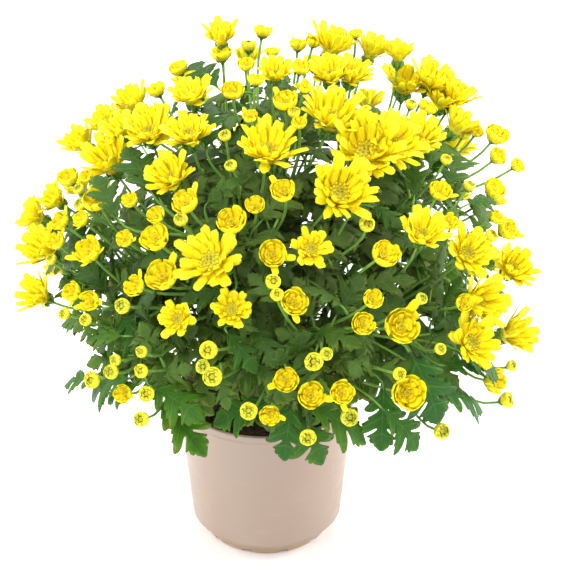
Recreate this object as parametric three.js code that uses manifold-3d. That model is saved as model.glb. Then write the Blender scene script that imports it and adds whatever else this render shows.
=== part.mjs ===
// Pot chrysanthemum: a branching plant with double yellow flower heads and lobed leaves, in a plastic pot.
// Millimetres, +Z up, origin at the centre of the pot's underside, show side towards -Y.
import * as THREE from "three";
import { mergeVertices } from "three/addons/utils/BufferGeometryUtils.js";
import Module from "manifold-3d";

const wasm = await Module();
wasm.setup();
const { Manifold } = wasm;

// ---------------------------------------------------------------- driving dimensions

const POT = {
  height: 120,
  rimRadius: 70,
  rimBand: 6, // height of the thicker band at the rim
  bandStep: 0.9, // how far the band stands out of the wall
  draft: 0.3, // how much narrower the band is at its foot
  wallFootRadius: 59.7, // the straight wall ends in a small ledge over the slanting heel
  ledge: 1.3,
  heelHeight: 14,
  footRadius: 50,
  footBand: 5, // height of the upright band at the foot
  edge: 1.2, // size of the small bevels
  wall: 1.8,
  floor: 3,
  sides: 32,
};
const DRAIN = { count: 11, width: 7, height: 2.2, depth: 9, firstDegrees: -17 }; // the foot's notches
const SOIL = { top: 107, crown: 3, shoulder: 14, gap: 0.6, sides: 20 };

const DOME_CENTRE = new THREE.Vector3(8, 0, 200); // the flower heads stand on a ball round this point
const DOME_RADIUS = 188;

// The show side's heads and leaves are listed as they stand in a square view of the plant.
const VIEW = { size: 573, unitsPerMm: 1.32, distance: 1200, elevation: 27, across: 16, height: 211 };

const LEADERS = [
  // leafy stems: how many, how high they aim on the dome in degrees, and the first one's heading
  { count: 1, rise: 84, heading: -90 },
  { count: 3, rise: 47, heading: -108 },
  { count: 6, rise: 10, heading: -85 },
];
const LEADER = {
  soilRadius: 30, // where the outermost stand in the soil
  uprightShare: 0.25, // of that radius, where an upright one stands
  depth: 12,
  climb: 45, // how far one goes nearly straight up from its foot
  splay: 0.25, // and how much it leans outwards there
  run: 55, // how far it runs straight towards its aim at the end
  reach: 0.56, // of the dome's radius
  steps: 4,
  foot: 3.0,
  head: 1.7,
  sides: 4,
  hole: 0.6, // how much wider its hole in the soil is
};
const STALK = {
  // a stalk carries one flower head
  radius: 1.15,
  sides: 3,
  fork: 0.5, // the share of a leader's length that its stalks leave
  onward: 0.22, // how far a stalk follows its leader, and its head's axis, as shares of its length
  inward: 0.38,
  knee: 0.45, // where its middle point stands
  before: 0.05, // the share of its leader over which the way on is taken
  bend: 4.5, // how far it is turned aside, and the most turns that are tried
  bends: 24,
};
const LEAF = {
  length: 50,
  lengthRange: 18,
  halfWidth: 0.37, // these three as shares of the length
  arch: 0.1,
  fold: 0.1,
  rib: 2, // thickness along the middle
  grip: 0.8, // how far a petiole runs on past the middle of its stem
  clear: 0.3, // from everything it doesn't grow from
  reach: 0.74, // where spread leaves end, as a share of the dome's radius
  reachRange: 0.2,
  baseReach: 0.93, // where a shown leaf's base stands, as a share of its tip's reach
  setBacks: [0, 0.03, -0.03, 0.06, 0.09, 0.13], // tried in turn until it is clear
  directions: 330, // where spread leaves may end, tried a stride apart so that none crowd
  stride: 101,
  lowest: 150,
  most: 78,
  petiole: 0.16, // the least share of the way from its root to its tip that is bare
  span: 1.2, // the way from root to tip that suits a leaf best, in blade lengths
  slant: 0.5, // and how far outwards that goes best, from 0 to 1
  slantWeight: 0.9,
  climbWeight: 0.25,
  faceUp: 0.5,
  faceAny: 0.5,
  firstRoot: 0.34, // where leaves can root along a leader, and the step from one to the next
  rootStep: 0.11,
  stalkRoots: [0.34, 0.66],
};
const FAR = {
  directions: 130,
  lowest: -0.16,
  spacing: 0.6,
  room: 4,
  most: 28,
  kinds: [
    // the share up to which a draw gives this kind, and its least and greatest diameter
    { kind: "open", upTo: 0.5, least: 26, greatest: 42 },
    { kind: "half", upTo: 0.82, least: 14, greatest: 22 },
    { kind: "bud", upTo: 1, least: 9, greatest: 12 },
  ],
};
const MOST_BLOOM_NODES = 48;

// Flower heads of the show side: [across, down] in the view, and the diameter in mm.
const OPEN_HEADS = [
  [220, 28, 29], [336, 34, 38], [331, 67, 36], [354, 69, 33], [376, 41, 30], [400, 45, 28], [407, 76, 37],
  [435, 72, 36], [445, 92, 33], [461, 88, 33], [465, 117, 33], [421, 131, 36], [190, 90, 33],
  [187, 129, 38], [147, 125, 40], [130, 95, 33], [119, 124, 34], [101, 116, 30], [103, 153, 40],
  [75, 137, 30], [269, 143, 46], [335, 108, 48], [368, 143, 52], [344, 187, 48], [396, 139, 46],
  [168, 171, 35], [209, 259, 46], [312, 247, 28], [425, 228, 34], [27, 213, 32], [36, 243, 36],
  [50, 196, 26], [31, 292, 31], [471, 250, 37], [518, 264, 35], [489, 300, 43], [524, 331, 37],
  [476, 341, 39], [176, 319, 26], [232, 309, 27], [276, 68, 27],
];
const HALF_HEADS = [
  [221, 53, 16], [263, 30, 14], [298, 44, 13], [178, 67, 15], [246, 64, 12], [272, 51, 11], [256, 79, 12],
  [314, 41, 12], [356, 33, 9], [301, 67, 14], [233, 90, 16], [285, 101, 17], [250, 116, 10],
  [299, 123, 10], [305, 87, 11], [185, 202, 18], [283, 191, 16], [255, 205, 12.5], [231, 221, 19],
  [273, 254, 18], [385, 254, 19], [156, 215, 12], [155, 238, 19], [125, 239, 12], [130, 200, 11],
  [156, 89, 14], [68, 177, 16], [86, 176, 9], [60, 221, 14], [56, 241, 13], [96, 199, 20], [81, 219, 12],
  [72, 292, 14], [90, 301, 14], [135, 286, 14], [162, 276, 21], [88, 251, 19], [464, 133, 11],
  [477, 131, 11], [428, 107, 14], [497, 134, 18], [498, 156, 14], [518, 165, 12], [495, 189, 17],
  [440, 191, 15], [450, 222, 12], [496, 217, 11], [508, 229, 17], [495, 381, 18], [408, 393, 23],
  [402, 326, 24], [373, 299, 13.5], [363, 324, 15], [464, 303, 12], [294, 302, 18], [311, 395, 18],
  [342, 393, 16], [286, 380, 16], [270, 415, 13], [123, 394, 13],
];
const BUDS = [
  [249, 46, 11], [294, 113, 8], [181, 220, 9], [367, 225, 10], [81, 205, 9], [123, 306, 10],
  [491, 236, 9], [506, 400, 11.5], [511, 366, 8], [441, 431, 11], [399, 374, 8.5], [314, 362, 11.5],
  [349, 417, 11.5], [308, 437, 10.5], [209, 350, 11.5], [213, 377, 12], [203, 367, 9], [93, 380, 11],
  [112, 372, 9.5], [142, 371, 9], [147, 394, 10], [142, 419, 10], [249, 411, 11], [273, 282, 9.5],
  [277, 295, 8], [231, 166, 8], [225, 136, 8], [440, 349, 7.5], [326, 354, 8], [421, 299, 7.5],
  [116, 360, 7.5], [86, 320, 8], [65, 314, 8], [142, 352, 7.5], [52, 260, 7.5], [79, 190, 7.5],
  [446, 160, 7.5], [469, 186, 8], [411, 105, 8],
];

// Large leaves low on the show side: tip [across, down], base [across, down], and their share of the dome's
// radius.
const SHOW_LEAVES = [
  [207, 456, 158, 402, 0.9], [205, 424, 150, 386, 0.97], [284, 463, 292, 402, 0.93],
  [322, 465, 296, 408, 0.88], [369, 443, 306, 404, 0.98], [381, 452, 384, 386, 0.93],
  [418, 450, 382, 408, 0.97], [441, 425, 410, 352, 0.98], [487, 408, 438, 392, 1.02],
  [213, 426, 268, 400, 0.82], [62, 384, 100, 378, 0.98], [86, 397, 132, 378, 0.97],
  [60, 325, 88, 318, 1], [152, 352, 120, 318, 0.88], [258, 372, 226, 332, 0.88],
  [396, 396, 352, 352, 0.8], [452, 395, 408, 362, 0.93], [500, 378, 462, 352, 1.02],
  [180, 300, 232, 292, 0.85], [488, 366, 444, 366, 0.98], [474, 322, 430, 334, 0.86],
  [462, 276, 440, 306, 0.9], [404, 228, 372, 206, 0.93], [498, 200, 468, 204, 1.03],
  [418, 156, 414, 198, 0.92], [126, 146, 152, 194, 0.98], [95, 174, 118, 220, 1],
  [140, 158, 160, 200, 0.93], [212, 100, 206, 150, 0.97], [190, 64, 218, 88, 0.97],
  [238, 178, 206, 204, 0.88], [84, 340, 124, 336, 0.97], [110, 330, 146, 322, 0.8],
  [70, 300, 104, 308, 0.95], [104, 402, 140, 384, 0.95], [462, 150, 448, 188, 0.97],
  [438, 130, 430, 168, 0.93], [455, 398, 412, 380, 0.97], [470, 355, 430, 352, 0.92],
  [478, 340, 448, 312, 0.97], [96, 352, 128, 330, 0.9], [300, 225, 330, 262, 0.8],
];

// ---------------------------------------------------------------- small helpers

const degrees = THREE.MathUtils.degToRad;
const vector = (x, y, z) => new THREE.Vector3(x, y, z);
const UP = vector(0, 0, 1);
const GOLDEN_ANGLE = Math.PI * (3 - Math.sqrt(5));
const mixed = (a, b, share) => a.clone().lerp(b, share);
const moved = (from, direction, by) => from.clone().addScaledVector(direction, by);
const towards = (from, to) => to.clone().sub(from).normalize();

// What each draw of a repeatable number is for.
const DRAW = {
  lean: [1, 2, 3],
  depth: 4,
  kind: 5,
  size: 6,
  flare: 8,
  reach: 10, // the first of one for each petal, as are cup and rise
  cup: 30,
  rise: 50,
  leafReach: 21,
  leafLength: 22,
  leafTurn: [23, 24],
};
const WAVE = { perKey: 12.9898, perDraw: 78.233, height: 4375.85453 };

// A repeatable number from 0 to 1 for the key, the same on every run.
function vary(key, draw) {
  const wave = Math.sin(key * WAVE.perKey + draw * WAVE.perDraw) * WAVE.height;
  return wave - Math.floor(wave);
}

// The i-th of count directions spread evenly over a ball.
function evenDirection(i, count) {
  const z = 1 - (2 * i + 1) / count;
  const turn = i * GOLDEN_ANGLE;
  const flat = Math.sqrt(1 - z * z);
  return vector(flat * Math.cos(turn), flat * Math.sin(turn), z);
}

// Slanting directions that pieces start to turn from.
const TUBE_SIDE = vector(0.3, 1, 0.2);
const HEAD_SIDE = vector(0.9, 0.1, 0.4);
const SPARE_SIDE = vector(1, 0.3, 0.2);
const NO_LENGTH = 1e-3;

// A direction square to the axis, as near as can be to the wanted one.
function squareTo(axis, wanted) {
  const side = wanted.clone().addScaledVector(axis, -wanted.dot(axis));
  return side.length() < NO_LENGTH ? squareTo(axis, SPARE_SIDE) : side.normalize();
}

function bezier([a, b, c, d], t) {
  return mixed(mixed(mixed(a, b, t), mixed(b, c, t), t), mixed(mixed(b, c, t), mixed(c, d, t), t), t);
}

// ---------------------------------------------------------------- solids from rings of points

// Faces between two lines of points. Each point is { index, at }, and the lines are walked together by at.
function stitch(a, b, faces) {
  let [i, j] = [0, 0];
  while (i < a.length - 1 || j < b.length - 1) {
    const nextA = i < a.length - 1 ? a[i + 1].at : Infinity;
    const nextB = j < b.length - 1 ? b[j + 1].at : Infinity;
    if (nextA <= nextB) faces.push([a[i].index, a[++i].index, b[j].index]);
    else faces.push([a[i].index, b[j + 1].index, b[j++].index]);
  }
}

// A closed solid from rings of [point, at] pairs, from its bottom round its outside to its top.
// A ring of one point closes the solid there, and at counts turns round the axis.
function ringSolid(rings) {
  const points = [];
  const lines = rings.map((ring) => {
    const line = ring.map(([point, at]) => ({ index: points.push(point) - 1, at }));
    return line.length > 1 ? [...line, { index: line[0].index, at: line[0].at + 1 }] : line;
  });
  const faces = [];
  lines.slice(1).forEach((line, k) => stitch(lines[k], line, faces));
  return solidFrom(points, faces);
}

function solidFrom(points, faces) {
  const vertProperties = new Float32Array(points.flatMap((p) => [p.x, p.y, p.z]));
  const triVerts = new Uint32Array(faces.flat());
  return new Manifold(new wasm.Mesh({ numProp: 3, vertProperties, triVerts }));
}

const SAME_POINT = 1e-4; // corners this near are one

function solidFromGeometry(geometry) {
  geometry.deleteAttribute("normal");
  geometry.deleteAttribute("uv");
  const merged = mergeVertices(geometry, SAME_POINT);
  return new Manifold(
    new wasm.Mesh({
      numProp: 3,
      vertProperties: merged.attributes.position.array,
      triVerts: new Uint32Array(merged.index.array),
    }),
  );
}

// A tapering tube along the points, closed at both ends.
function tube(points, radii, sides) {
  let side = squareTo(towards(points[0], points[1]), TUBE_SIDE);
  const rings = points.map((point, k) => {
    const before = points[Math.max(k - 1, 0)];
    const after = points[Math.min(k + 1, points.length - 1)];
    const along = towards(before, after);
    side = squareTo(along, side);
    const across = along.clone().cross(side);
    return Array.from({ length: sides }, (_, s) => {
      const angle = (2 * Math.PI * s) / sides;
      const spoke = side.clone().multiplyScalar(Math.cos(angle)).addScaledVector(across, Math.sin(angle));
      return [moved(point, spoke, radii[k]), s / sides];
    });
  });
  return ringSolid([[[points[0], 0]], ...rings, [[points.at(-1), 0]]]);
}

// ---------------------------------------------------------------- pot and soil

function lathe(outline, sides) {
  const profile = outline.map(([radius, z]) => new THREE.Vector2(radius, z));
  return solidFromGeometry(new THREE.LatheGeometry(profile, sides).rotateX(Math.PI / 2));
}

// The pot's inner radius at a height: a slanting heel below and a straight taper above.
function potInside(height) {
  const corners = [
    [POT.floor, POT.footRadius - POT.wall],
    [POT.heelHeight, POT.wallFootRadius - POT.ledge - POT.wall],
    [POT.height, POT.rimRadius - POT.bandStep - POT.wall],
  ];
  const [low, high] = height < POT.heelHeight ? corners.slice(0, 2) : corners.slice(1);
  return low[1] + ((high[1] - low[1]) * (height - low[0])) / (high[0] - low[0]);
}

function makePot() {
  const { height, rimRadius, wallFootRadius, ledge, heelHeight, footRadius, footBand, edge } = POT;
  const bandFoot = height - POT.rimBand;
  const shell = lathe(
    [
      [0, 0],
      [footRadius - edge, 0],
      [footRadius, edge],
      [footRadius + edge, footBand],
      [wallFootRadius - ledge, heelHeight - edge],
      [wallFootRadius, heelHeight],
      [rimRadius - POT.bandStep - POT.draft, bandFoot],
      [rimRadius - POT.draft, bandFoot + edge],
      [rimRadius, height],
      [potInside(height), height],
      [potInside(heelHeight), heelHeight],
      [potInside(POT.floor), POT.floor],
      [0, POT.floor],
    ],
    POT.sides,
  );
  const notches = Array.from({ length: DRAIN.count }, (_, k) => {
    const turn = degrees(DRAIN.firstDegrees - 90 + (360 * k) / DRAIN.count);
    const box = new THREE.BoxGeometry(DRAIN.depth, DRAIN.width, 2 * DRAIN.height);
    return solidFromGeometry(box.translate(footRadius, 0, 0).rotateZ(turn));
  });
  return shell.subtract(Manifold.union(notches));
}

function makeSoil(leaders) {
  const edge = (z) => potInside(z) - SOIL.gap;
  const floor = POT.floor + SOIL.gap;
  const plug = lathe(
    [
      [0, floor],
      [edge(floor), floor],
      [edge(POT.heelHeight), POT.heelHeight],
      [edge(SOIL.top - SOIL.crown), SOIL.top - SOIL.crown],
      [edge(SOIL.top) - SOIL.shoulder, SOIL.top],
      [0, SOIL.top],
    ],
    SOIL.sides,
  );
  const holes = leaders.map((leader) => {
    const start = moved(leader.path[0], towards(leader.path[1], leader.path[0]), LEADER.hole);
    const wide = LEADER.foot + LEADER.hole;
    return tube([start, leader.path[1]], [wide, wide], LEADER.sides);
  });
  return plug.subtract(Manifold.union(holes));
}

// ---------------------------------------------------------------- where things stand

const RISE = degrees(VIEW.elevation);
const AIM = vector(VIEW.across, 0, VIEW.height);
const SIGHT = vector(0, Math.cos(RISE), -Math.sin(RISE));
const VIEW_UP = vector(0, Math.sin(RISE), Math.cos(RISE));
const EYE = moved(AIM, SIGHT, -VIEW.distance);

// The point of the dome that the view shows at [across, down], or beside the dome where the view passes it.
function domePoint(across, down, reach = 1) {
  const middle = VIEW.size / 2;
  const onPlane = moved(AIM, VIEW_UP, (middle - down) / VIEW.unitsPerMm);
  onPlane.x += (across - middle) / VIEW.unitsPerMm;
  const ray = towards(EYE, onPlane);
  const toCentre = DOME_CENTRE.clone().sub(EYE);
  const along = toCentre.dot(ray);
  const miss2 = toCentre.lengthSq() - along * along;
  const radius = DOME_RADIUS * reach;
  const back = Math.sqrt(Math.max(0, radius * radius - miss2));
  return moved(EYE, ray, along - back);
}

// Under each kind of head, in shares of its radius: its green cup's rim, its underside and its stalk's end.
const CUP = {
  gap: 0.35,
  sides: 4,
  open: { out: 0.3, up: 0.26, under: 0.34, neck: 0.74 },
  half: { out: 0.5, up: 0.38, under: 0.55, neck: 0.95 },
  bud: { out: 0.5, up: 0.62, under: 0.85, neck: 1.25 },
};

const PETALS = { open: 7, half: 5, bud: 5 }; // in a whorl
const SMALL_BLOOM = 44; // an open head under this diameter has a petal less
// How heads turn, over what depth they stand, and the share of it that is in front of the ball.
const HEAD_LEAN = { up: 0.45, any: 0.6, front: 0.3, depth: 12, before: 0.4 };
// How far outer petals reach and rise, as shares of the head's radius. Most of a half-open head's are tight.
const REACH = { least: 0.9, range: 0.26 };
const CUP_REACH = { least: 1, range: 0.14, letGo: 1.65, tight: 0.84 };
// How far an open head's petals rise. Side is for heads that stand across the view.
const FLARE = { least: 0.22, range: 0.3, side: 0.35, any: 0.16 };
const SINK = { open: 0.9, half: 0.2, bud: 0 }; // how deep a head's centre lies under its spot, in flares

// A flower head at a spot of the dome. Front is how far it turns to the show side.
function makeHead(kind, spot, diameter, key, front) {
  const inwards = (vary(key, DRAW.depth) - HEAD_LEAN.before) * HEAD_LEAN.depth;
  const centre = moved(spot, towards(EYE, spot), inwards);
  const lean = vector(...DRAW.lean.map((draw) => vary(key, draw) - 0.5));
  const out = towards(DOME_CENTRE, centre);
  const side = 1 - Math.max(0, out.dot(towards(centre, EYE)));
  const flare = FLARE.least + FLARE.range * vary(key, DRAW.flare) + FLARE.side * side;
  const axis = out.addScaledVector(towards(centre, EYE), front).addScaledVector(UP, HEAD_LEAN.up);
  axis.addScaledVector(lean, HEAD_LEAN.any).normalize();
  centre.addScaledVector(axis, (-SINK[kind] * flare * diameter) / 2);
  const petals = PETALS[kind] - (kind === "open" && diameter < SMALL_BLOOM ? 1 : 0);
  const reaches = Array.from({ length: petals }, (_, k) => {
    if (kind === "open") return REACH.least + REACH.range * vary(key, DRAW.reach + k);
    if (kind === "bud") return 1;
    const isTight = vary(key, DRAW.reach + k) <= CUP_REACH.tight;
    return isTight ? CUP_REACH.least + CUP_REACH.range * vary(key, DRAW.cup + k) : CUP_REACH.letGo;
  });
  return { kind, key, centre, axis, radius: diameter / 2, flare, reaches };
}

function makeHeads() {
  const heads = [];
  const lists = { open: OPEN_HEADS, half: HALF_HEADS, bud: BUDS };
  for (const [kind, list] of Object.entries(lists)) {
    for (const [across, down, diameter] of list) {
      heads.push(makeHead(kind, domePoint(across, down), diameter, heads.length, HEAD_LEAN.front));
    }
  }
  return [...heads, ...farSideHeads(heads)];
}

// Heads of the far side, spread evenly where the show side's list doesn't reach.
function farSideHeads(shown) {
  const far = [];
  for (let i = 0; i < FAR.directions; i++) {
    const direction = evenDirection(i, FAR.directions);
    const point = moved(DOME_CENTRE, direction, DOME_RADIUS);
    const seen = direction.dot(towards(point, EYE)) > 0;
    if (direction.z < FAR.lowest || seen || far.length === FAR.most) continue;
    const key = shown.length + i;
    const { kind, least, greatest } = FAR.kinds.find(({ upTo }) => vary(key, DRAW.kind) < upTo);
    const diameter = least + (greatest - least) * vary(key, DRAW.size);
    const hasRoom = ({ centre, radius }) =>
      centre.distanceTo(point) > FAR.spacing * (diameter / 2 + radius) + FAR.room;
    if ([...shown, ...far].every(hasRoom)) far.push(makeHead(kind, point, diameter, key, 0));
  }
  return far;
}

// ---------------------------------------------------------------- leafy stems and stalks

function makeLeader(rise, turn) {
  const flat = Math.cos(rise);
  const heading = vector(Math.cos(turn), Math.sin(turn), 0);
  const aim = heading.clone().multiplyScalar(flat).setZ(Math.sin(rise));
  const spread = THREE.MathUtils.lerp(LEADER.uprightShare, 1, flat);
  const foot = heading.multiplyScalar(LEADER.soilRadius * spread).setZ(SOIL.top - LEADER.depth);
  const climbing = aim.clone().multiplyScalar(LEADER.splay * flat).setZ(1).normalize();
  const end = moved(DOME_CENTRE, aim, DOME_RADIUS * LEADER.reach);
  const curve = [foot, moved(foot, climbing, LEADER.climb), moved(end, aim, -LEADER.run), end];
  const shares = Array.from({ length: LEADER.steps + 1 }, (_, k) => k / LEADER.steps);
  const path = shares.map((share) => bezier(curve, share));
  const radii = shares.map((share) => THREE.MathUtils.lerp(LEADER.foot, LEADER.head, share));
  return { aim, path, solid: tube(path, radii, LEADER.sides) };
}

function makeLeaders() {
  return LEADERS.flatMap(({ count, rise, heading }) =>
    Array.from({ length: count }, (_, k) => makeLeader(degrees(rise), degrees(heading + (360 * k) / count))),
  );
}

// A leader's stalks leave it one by one, lower down the further off their heads stand.
function plantStalks(leader, heads) {
  const off = (head) => leader.aim.angleTo(towards(DOME_CENTRE, head.centre));
  const own = heads.filter((head) => head.leader === leader).sort((a, b) => off(a) - off(b));
  own.forEach((head, k) => {
    head.from = 1 - (STALK.fork * k) / own.length;
  });
}

// The stalk of a head in three points. Bend, from 0 up, turns its middle aside in a widening spiral.
function stalkFor(head, bend) {
  const { path } = head.leader;
  const root = alongPath(path, head.from);
  const onward = towards(alongPath(path, head.from - STALK.before), root);
  const neck = moved(head.centre, head.axis, -CUP[head.kind].neck * head.radius);
  const span = root.distanceTo(neck);
  const leaving = moved(root, onward, STALK.onward * span);
  const arriving = moved(neck, head.axis, -STALK.inward * span);
  const middle = bezier([root, leaving, arriving, neck], STALK.knee);
  const side = squareTo(towards(root, neck), UP);
  const across = towards(root, neck).cross(side);
  const turn = GOLDEN_ANGLE * bend;
  const aside = side.multiplyScalar(Math.cos(turn)).addScaledVector(across, Math.sin(turn));
  return { head, path: [root, moved(middle, aside, STALK.bend * Math.sqrt(bend)), neck] };
}

// The point a share of the way along a path of equal steps.
function alongPath(path, share) {
  const at = THREE.MathUtils.clamp(share, 0, 1) * (path.length - 1);
  const step = Math.min(Math.floor(at), path.length - 2);
  return mixed(path[step], path[step + 1], at - step);
}

// ---------------------------------------------------------------- flower heads

function headSides({ axis }) {
  const side = squareTo(axis, HEAD_SIDE);
  return { side, across: axis.clone().cross(side) };
}

// A point of a head, a turn round its axis, with out and up as shares of its radius from its centre.
function headPoint(head, turn, out, up) {
  const { side, across } = headSides(head);
  const angle = 2 * Math.PI * turn;
  const flat = side.multiplyScalar(Math.cos(angle)).addScaledVector(across, Math.sin(angle));
  return moved(moved(head.centre, flat, out * head.radius), head.axis, up * head.radius);
}

// The [out, up] points of each kind of head, in shares of its radius.
const OPEN_FORM = {
  belly: [0.36, -0.13],
  foot: [0.46, 0.06], // where two outer petals part
  dip: [0.42, 0.14],
  innerTip: [0.56, 0.36],
  innerGap: [0.4, 0.22],
  eye: [0, 0.14],
  strap: 0.26, // half the width of an outer petal's end, in petals
};
const HALF_FORM = { belly: [0.9, -0.1], gap: [0.9, 0.3], tip: 0.5, eye: [0, 0.16] };
const BUD_FORM = { belly: [1, -0.1], shoulder: [0.72, 0.62], top: [0, 0.8] };

const headCorner = (head, turn, [out, up]) => [headPoint(head, turn, out, up), turn];
const evenRing = (head, spot) => head.reaches.map((_, k) => headCorner(head, k / head.reaches.length, spot));

// Each kind of head as rings from above its underside's lowest point to the middle of its face.
// An open head has an underside, the outer whorl's strap petals, an inner whorl standing in it, and the eye.
function openRings(head) {
  const count = head.reaches.length;
  const { belly, foot, dip, innerTip, innerGap, eye, strap } = OPEN_FORM;
  const outline = head.reaches.flatMap((reach, k) => {
    const rise = head.flare + FLARE.any * vary(head.key, DRAW.rise + k);
    return [
      headCorner(head, k / count, foot),
      headCorner(head, (k + 0.5 - strap) / count, [reach, rise]),
      headCorner(head, (k + 0.5 + strap) / count, [reach, rise]),
    ];
  });
  const inner = head.reaches.flatMap((_, k) => [
    headCorner(head, k / count, innerTip),
    headCorner(head, (k + 0.5) / count, innerGap),
  ]);
  const whorls = count === PETALS.open ? [outline, evenRing(head, dip), inner] : [outline];
  return [evenRing(head, belly), ...whorls, [headCorner(head, 0, eye)]];
}

// A half-open head is a cup of upright petals, some of them let go and reaching out.
function halfRings(head) {
  const count = head.reaches.length;
  const rim = head.reaches.flatMap((reach, k) => [
    headCorner(head, k / count, HALF_FORM.gap),
    headCorner(head, (k + 0.5) / count, [reach, HALF_FORM.tip]),
  ]);
  return [evenRing(head, HALF_FORM.belly), rim, [headCorner(head, 0, HALF_FORM.eye)]];
}

function budRings(head) {
  const { belly, shoulder, top } = BUD_FORM;
  return [evenRing(head, belly), evenRing(head, shoulder), [headCorner(head, 0, top)]];
}

const HEAD_RINGS = { open: openRings, half: halfRings, bud: budRings };

function headSolid(head) {
  const lowest = headPoint(head, 0, 0, -CUP[head.kind].under);
  return ringSolid([[[lowest, 0]], ...HEAD_RINGS[head.kind](head)]);
}

// The green cup under a head that is a piece of its own, clear of it.
function cupRings(head) {
  const { out, up, under } = CUP[head.kind];
  const rim = Array.from({ length: CUP.sides }, (_, k) => headCorner(head, k / CUP.sides, [out, -up]));
  return [rim, [[headPoint(head, 0, 0, -under - CUP.gap / head.radius), 0]]];
}

// A stalk and what it carries as one skin: a whole head, or the cup of a head that is a piece of its own.
function stalkSolid({ head, path }, carriesHead) {
  const rings = path.map(() => []);
  const { side } = headSides(head);
  for (let k = path.length - 1, toSide = side; k >= 0; k--) {
    const along = k === path.length - 1 ? head.axis : towards(path[Math.max(k - 1, 0)], path[k + 1]);
    toSide = squareTo(along, toSide);
    const across = along.clone().cross(toSide);
    rings[k] = Array.from({ length: STALK.sides }, (_, s) => {
      const angle = (2 * Math.PI * s) / STALK.sides;
      const spoke = toSide.clone().multiplyScalar(Math.cos(angle)).addScaledVector(across, Math.sin(angle));
      return [moved(path[k], spoke, STALK.radius), s / STALK.sides];
    });
  }
  const top = carriesHead ? HEAD_RINGS[head.kind](head) : cupRings(head);
  return ringSolid([[[path[0], 0]], ...rings, ...top]);
}

// ---------------------------------------------------------------- leaves

// Half of a leaf's outline: [share of the length, share of the half width].
const LEAF_EDGE = [
  [0, 0.05],
  [0.27, 0.66],
  [0.42, 0.3],
  [0.66, 1],
  [0.8, 0.42],
];
const LEAF_RIB = [0, 0.6];

// A leaf's blade runs from base to tip, arched along its length, and its petiole comes from root.
function leafSolid({ root, base, tip, face }, petiole) {
  const length = base.distanceTo(tip);
  const along = towards(base, tip);
  const up = squareTo(along, face);
  const side = along.clone().cross(up);
  const place = (share, wide, thick) => {
    const rise = LEAF.arch * 4 * share * (1 - share) - LEAF.fold * Math.abs(wide);
    const onPlane = moved(mixed(base, tip, share), side, wide * LEAF.halfWidth * length);
    return moved(onPlane, up, rise * length + thick);
  };
  const points = [petiole ? moved(root, towards(base, root), LEAF.grip) : base, tip];
  const [ROOT, TIP] = [0, 1];
  const add = (share, wide, thick = 0) => ({ index: points.push(place(share, wide, thick)) - 1, at: share });
  const ends = (line) => [{ index: ROOT, at: -1 }, ...line, { index: TIP, at: 1 }];
  const first = petiole ? 0 : 1;
  const left = ends(LEAF_EDGE.slice(first).map(([share, wide]) => add(share, -wide)));
  const right = ends(LEAF_EDGE.slice(first).map(([share, wide]) => add(share, wide)));
  const ribTop = ends(LEAF_RIB.slice(first).map((share) => add(share, 0, LEAF.rib / 2)));
  const ribUnder = ends(LEAF_RIB.slice(first).map((share) => add(share, 0, -LEAF.rib / 2)));
  const faces = [];
  stitch(right, ribTop, faces);
  stitch(ribTop, left, faces);
  stitch(left, ribUnder, faces);
  stitch(ribUnder, right, faces);
  return solidFrom(
    points,
    faces.filter((face) => new Set(face).size === 3),
  );
}

// Points of the leafy stems where a leaf can root.
function leafRoots(leaders, stalks) {
  const roots = [];
  leaders.forEach((leader) => {
    for (let share = LEAF.firstRoot; share < 1; share += LEAF.rootStep) {
      roots.push({ point: alongPath(leader.path, share), leader });
    }
  });
  stalks.forEach(({ path, head }) => {
    LEAF.stalkRoots.forEach((share) => roots.push({ point: alongPath(path, share), leader: head.leader }));
  });
  return roots;
}

// A leaf of the show side, from where its tip and base stand in the view. It grows from the nearest stem point
// that its blade turns away from. Deeper is how far it is set back.
function shownLeaf([tipAcross, tipDown, baseAcross, baseDown, reach], roots, deeper) {
  const tip = domePoint(tipAcross, tipDown, reach - deeper);
  const base = domePoint(baseAcross, baseDown, (reach - deeper) * LEAF.baseReach);
  const behind = roots.filter(({ point }) => towards(point, base).dot(towards(base, tip)) > 0);
  const root = behind.reduce((best, next) =>
    next.point.distanceTo(base) < best.point.distanceTo(base) ? next : best,
  );
  const face = towards(base, EYE).add(UP);
  return { root: root.point, leader: root.leader, base, tip, face };
}

// A leaf whose tip stands in the given direction of the dome, from the stem point that suits it best.
function spreadLeaf(out, key, roots, deeper) {
  const reach = LEAF.reach + LEAF.reachRange * vary(key, DRAW.leafReach) - deeper;
  const tip = moved(DOME_CENTRE, out, DOME_RADIUS * reach);
  const wanted = LEAF.length + LEAF.lengthRange * vary(key, DRAW.leafLength);
  const cost = ({ point }) => {
    const arm = tip.clone().sub(point);
    const slant = arm.clone().normalize().dot(out);
    const offSpan = Math.abs(arm.length() / wanted - LEAF.span);
    const climb = Math.max(0, arm.z / wanted);
    return offSpan + LEAF.slantWeight * Math.abs(slant - LEAF.slant) + LEAF.climbWeight * climb;
  };
  const root = roots.reduce((best, next) => (cost(next) < cost(best) ? next : best));
  const span = root.point.distanceTo(tip);
  const base = mixed(root.point, tip, Math.max(LEAF.petiole, 1 - wanted / span));
  const [turnX, turnY] = DRAW.leafTurn.map((draw) => vary(key, draw) - 0.5);
  const turned = vector(turnX, turnY, 0);
  const face = out.clone().addScaledVector(UP, LEAF.faceUp).addScaledVector(turned, LEAF.faceAny);
  return { root: root.point, leader: root.leader, base, tip, face };
}

// ---------------------------------------------------------------- growing the plant

const LEAST_OVERLAP = 0.005; // cubic millimetres
const BOX_ROOM = 0.5;
const overlaps = (a, b) => a.intersect(b).volume() > LEAST_OVERLAP;

function boxesMeet(a, b) {
  const [p, q] = [a.boundingBox(), b.boundingBox()];
  return [0, 1, 2].every((k) => p.min[k] - BOX_ROOM < q.max[k] && q.min[k] - BOX_ROOM < p.max[k]);
}

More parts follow.
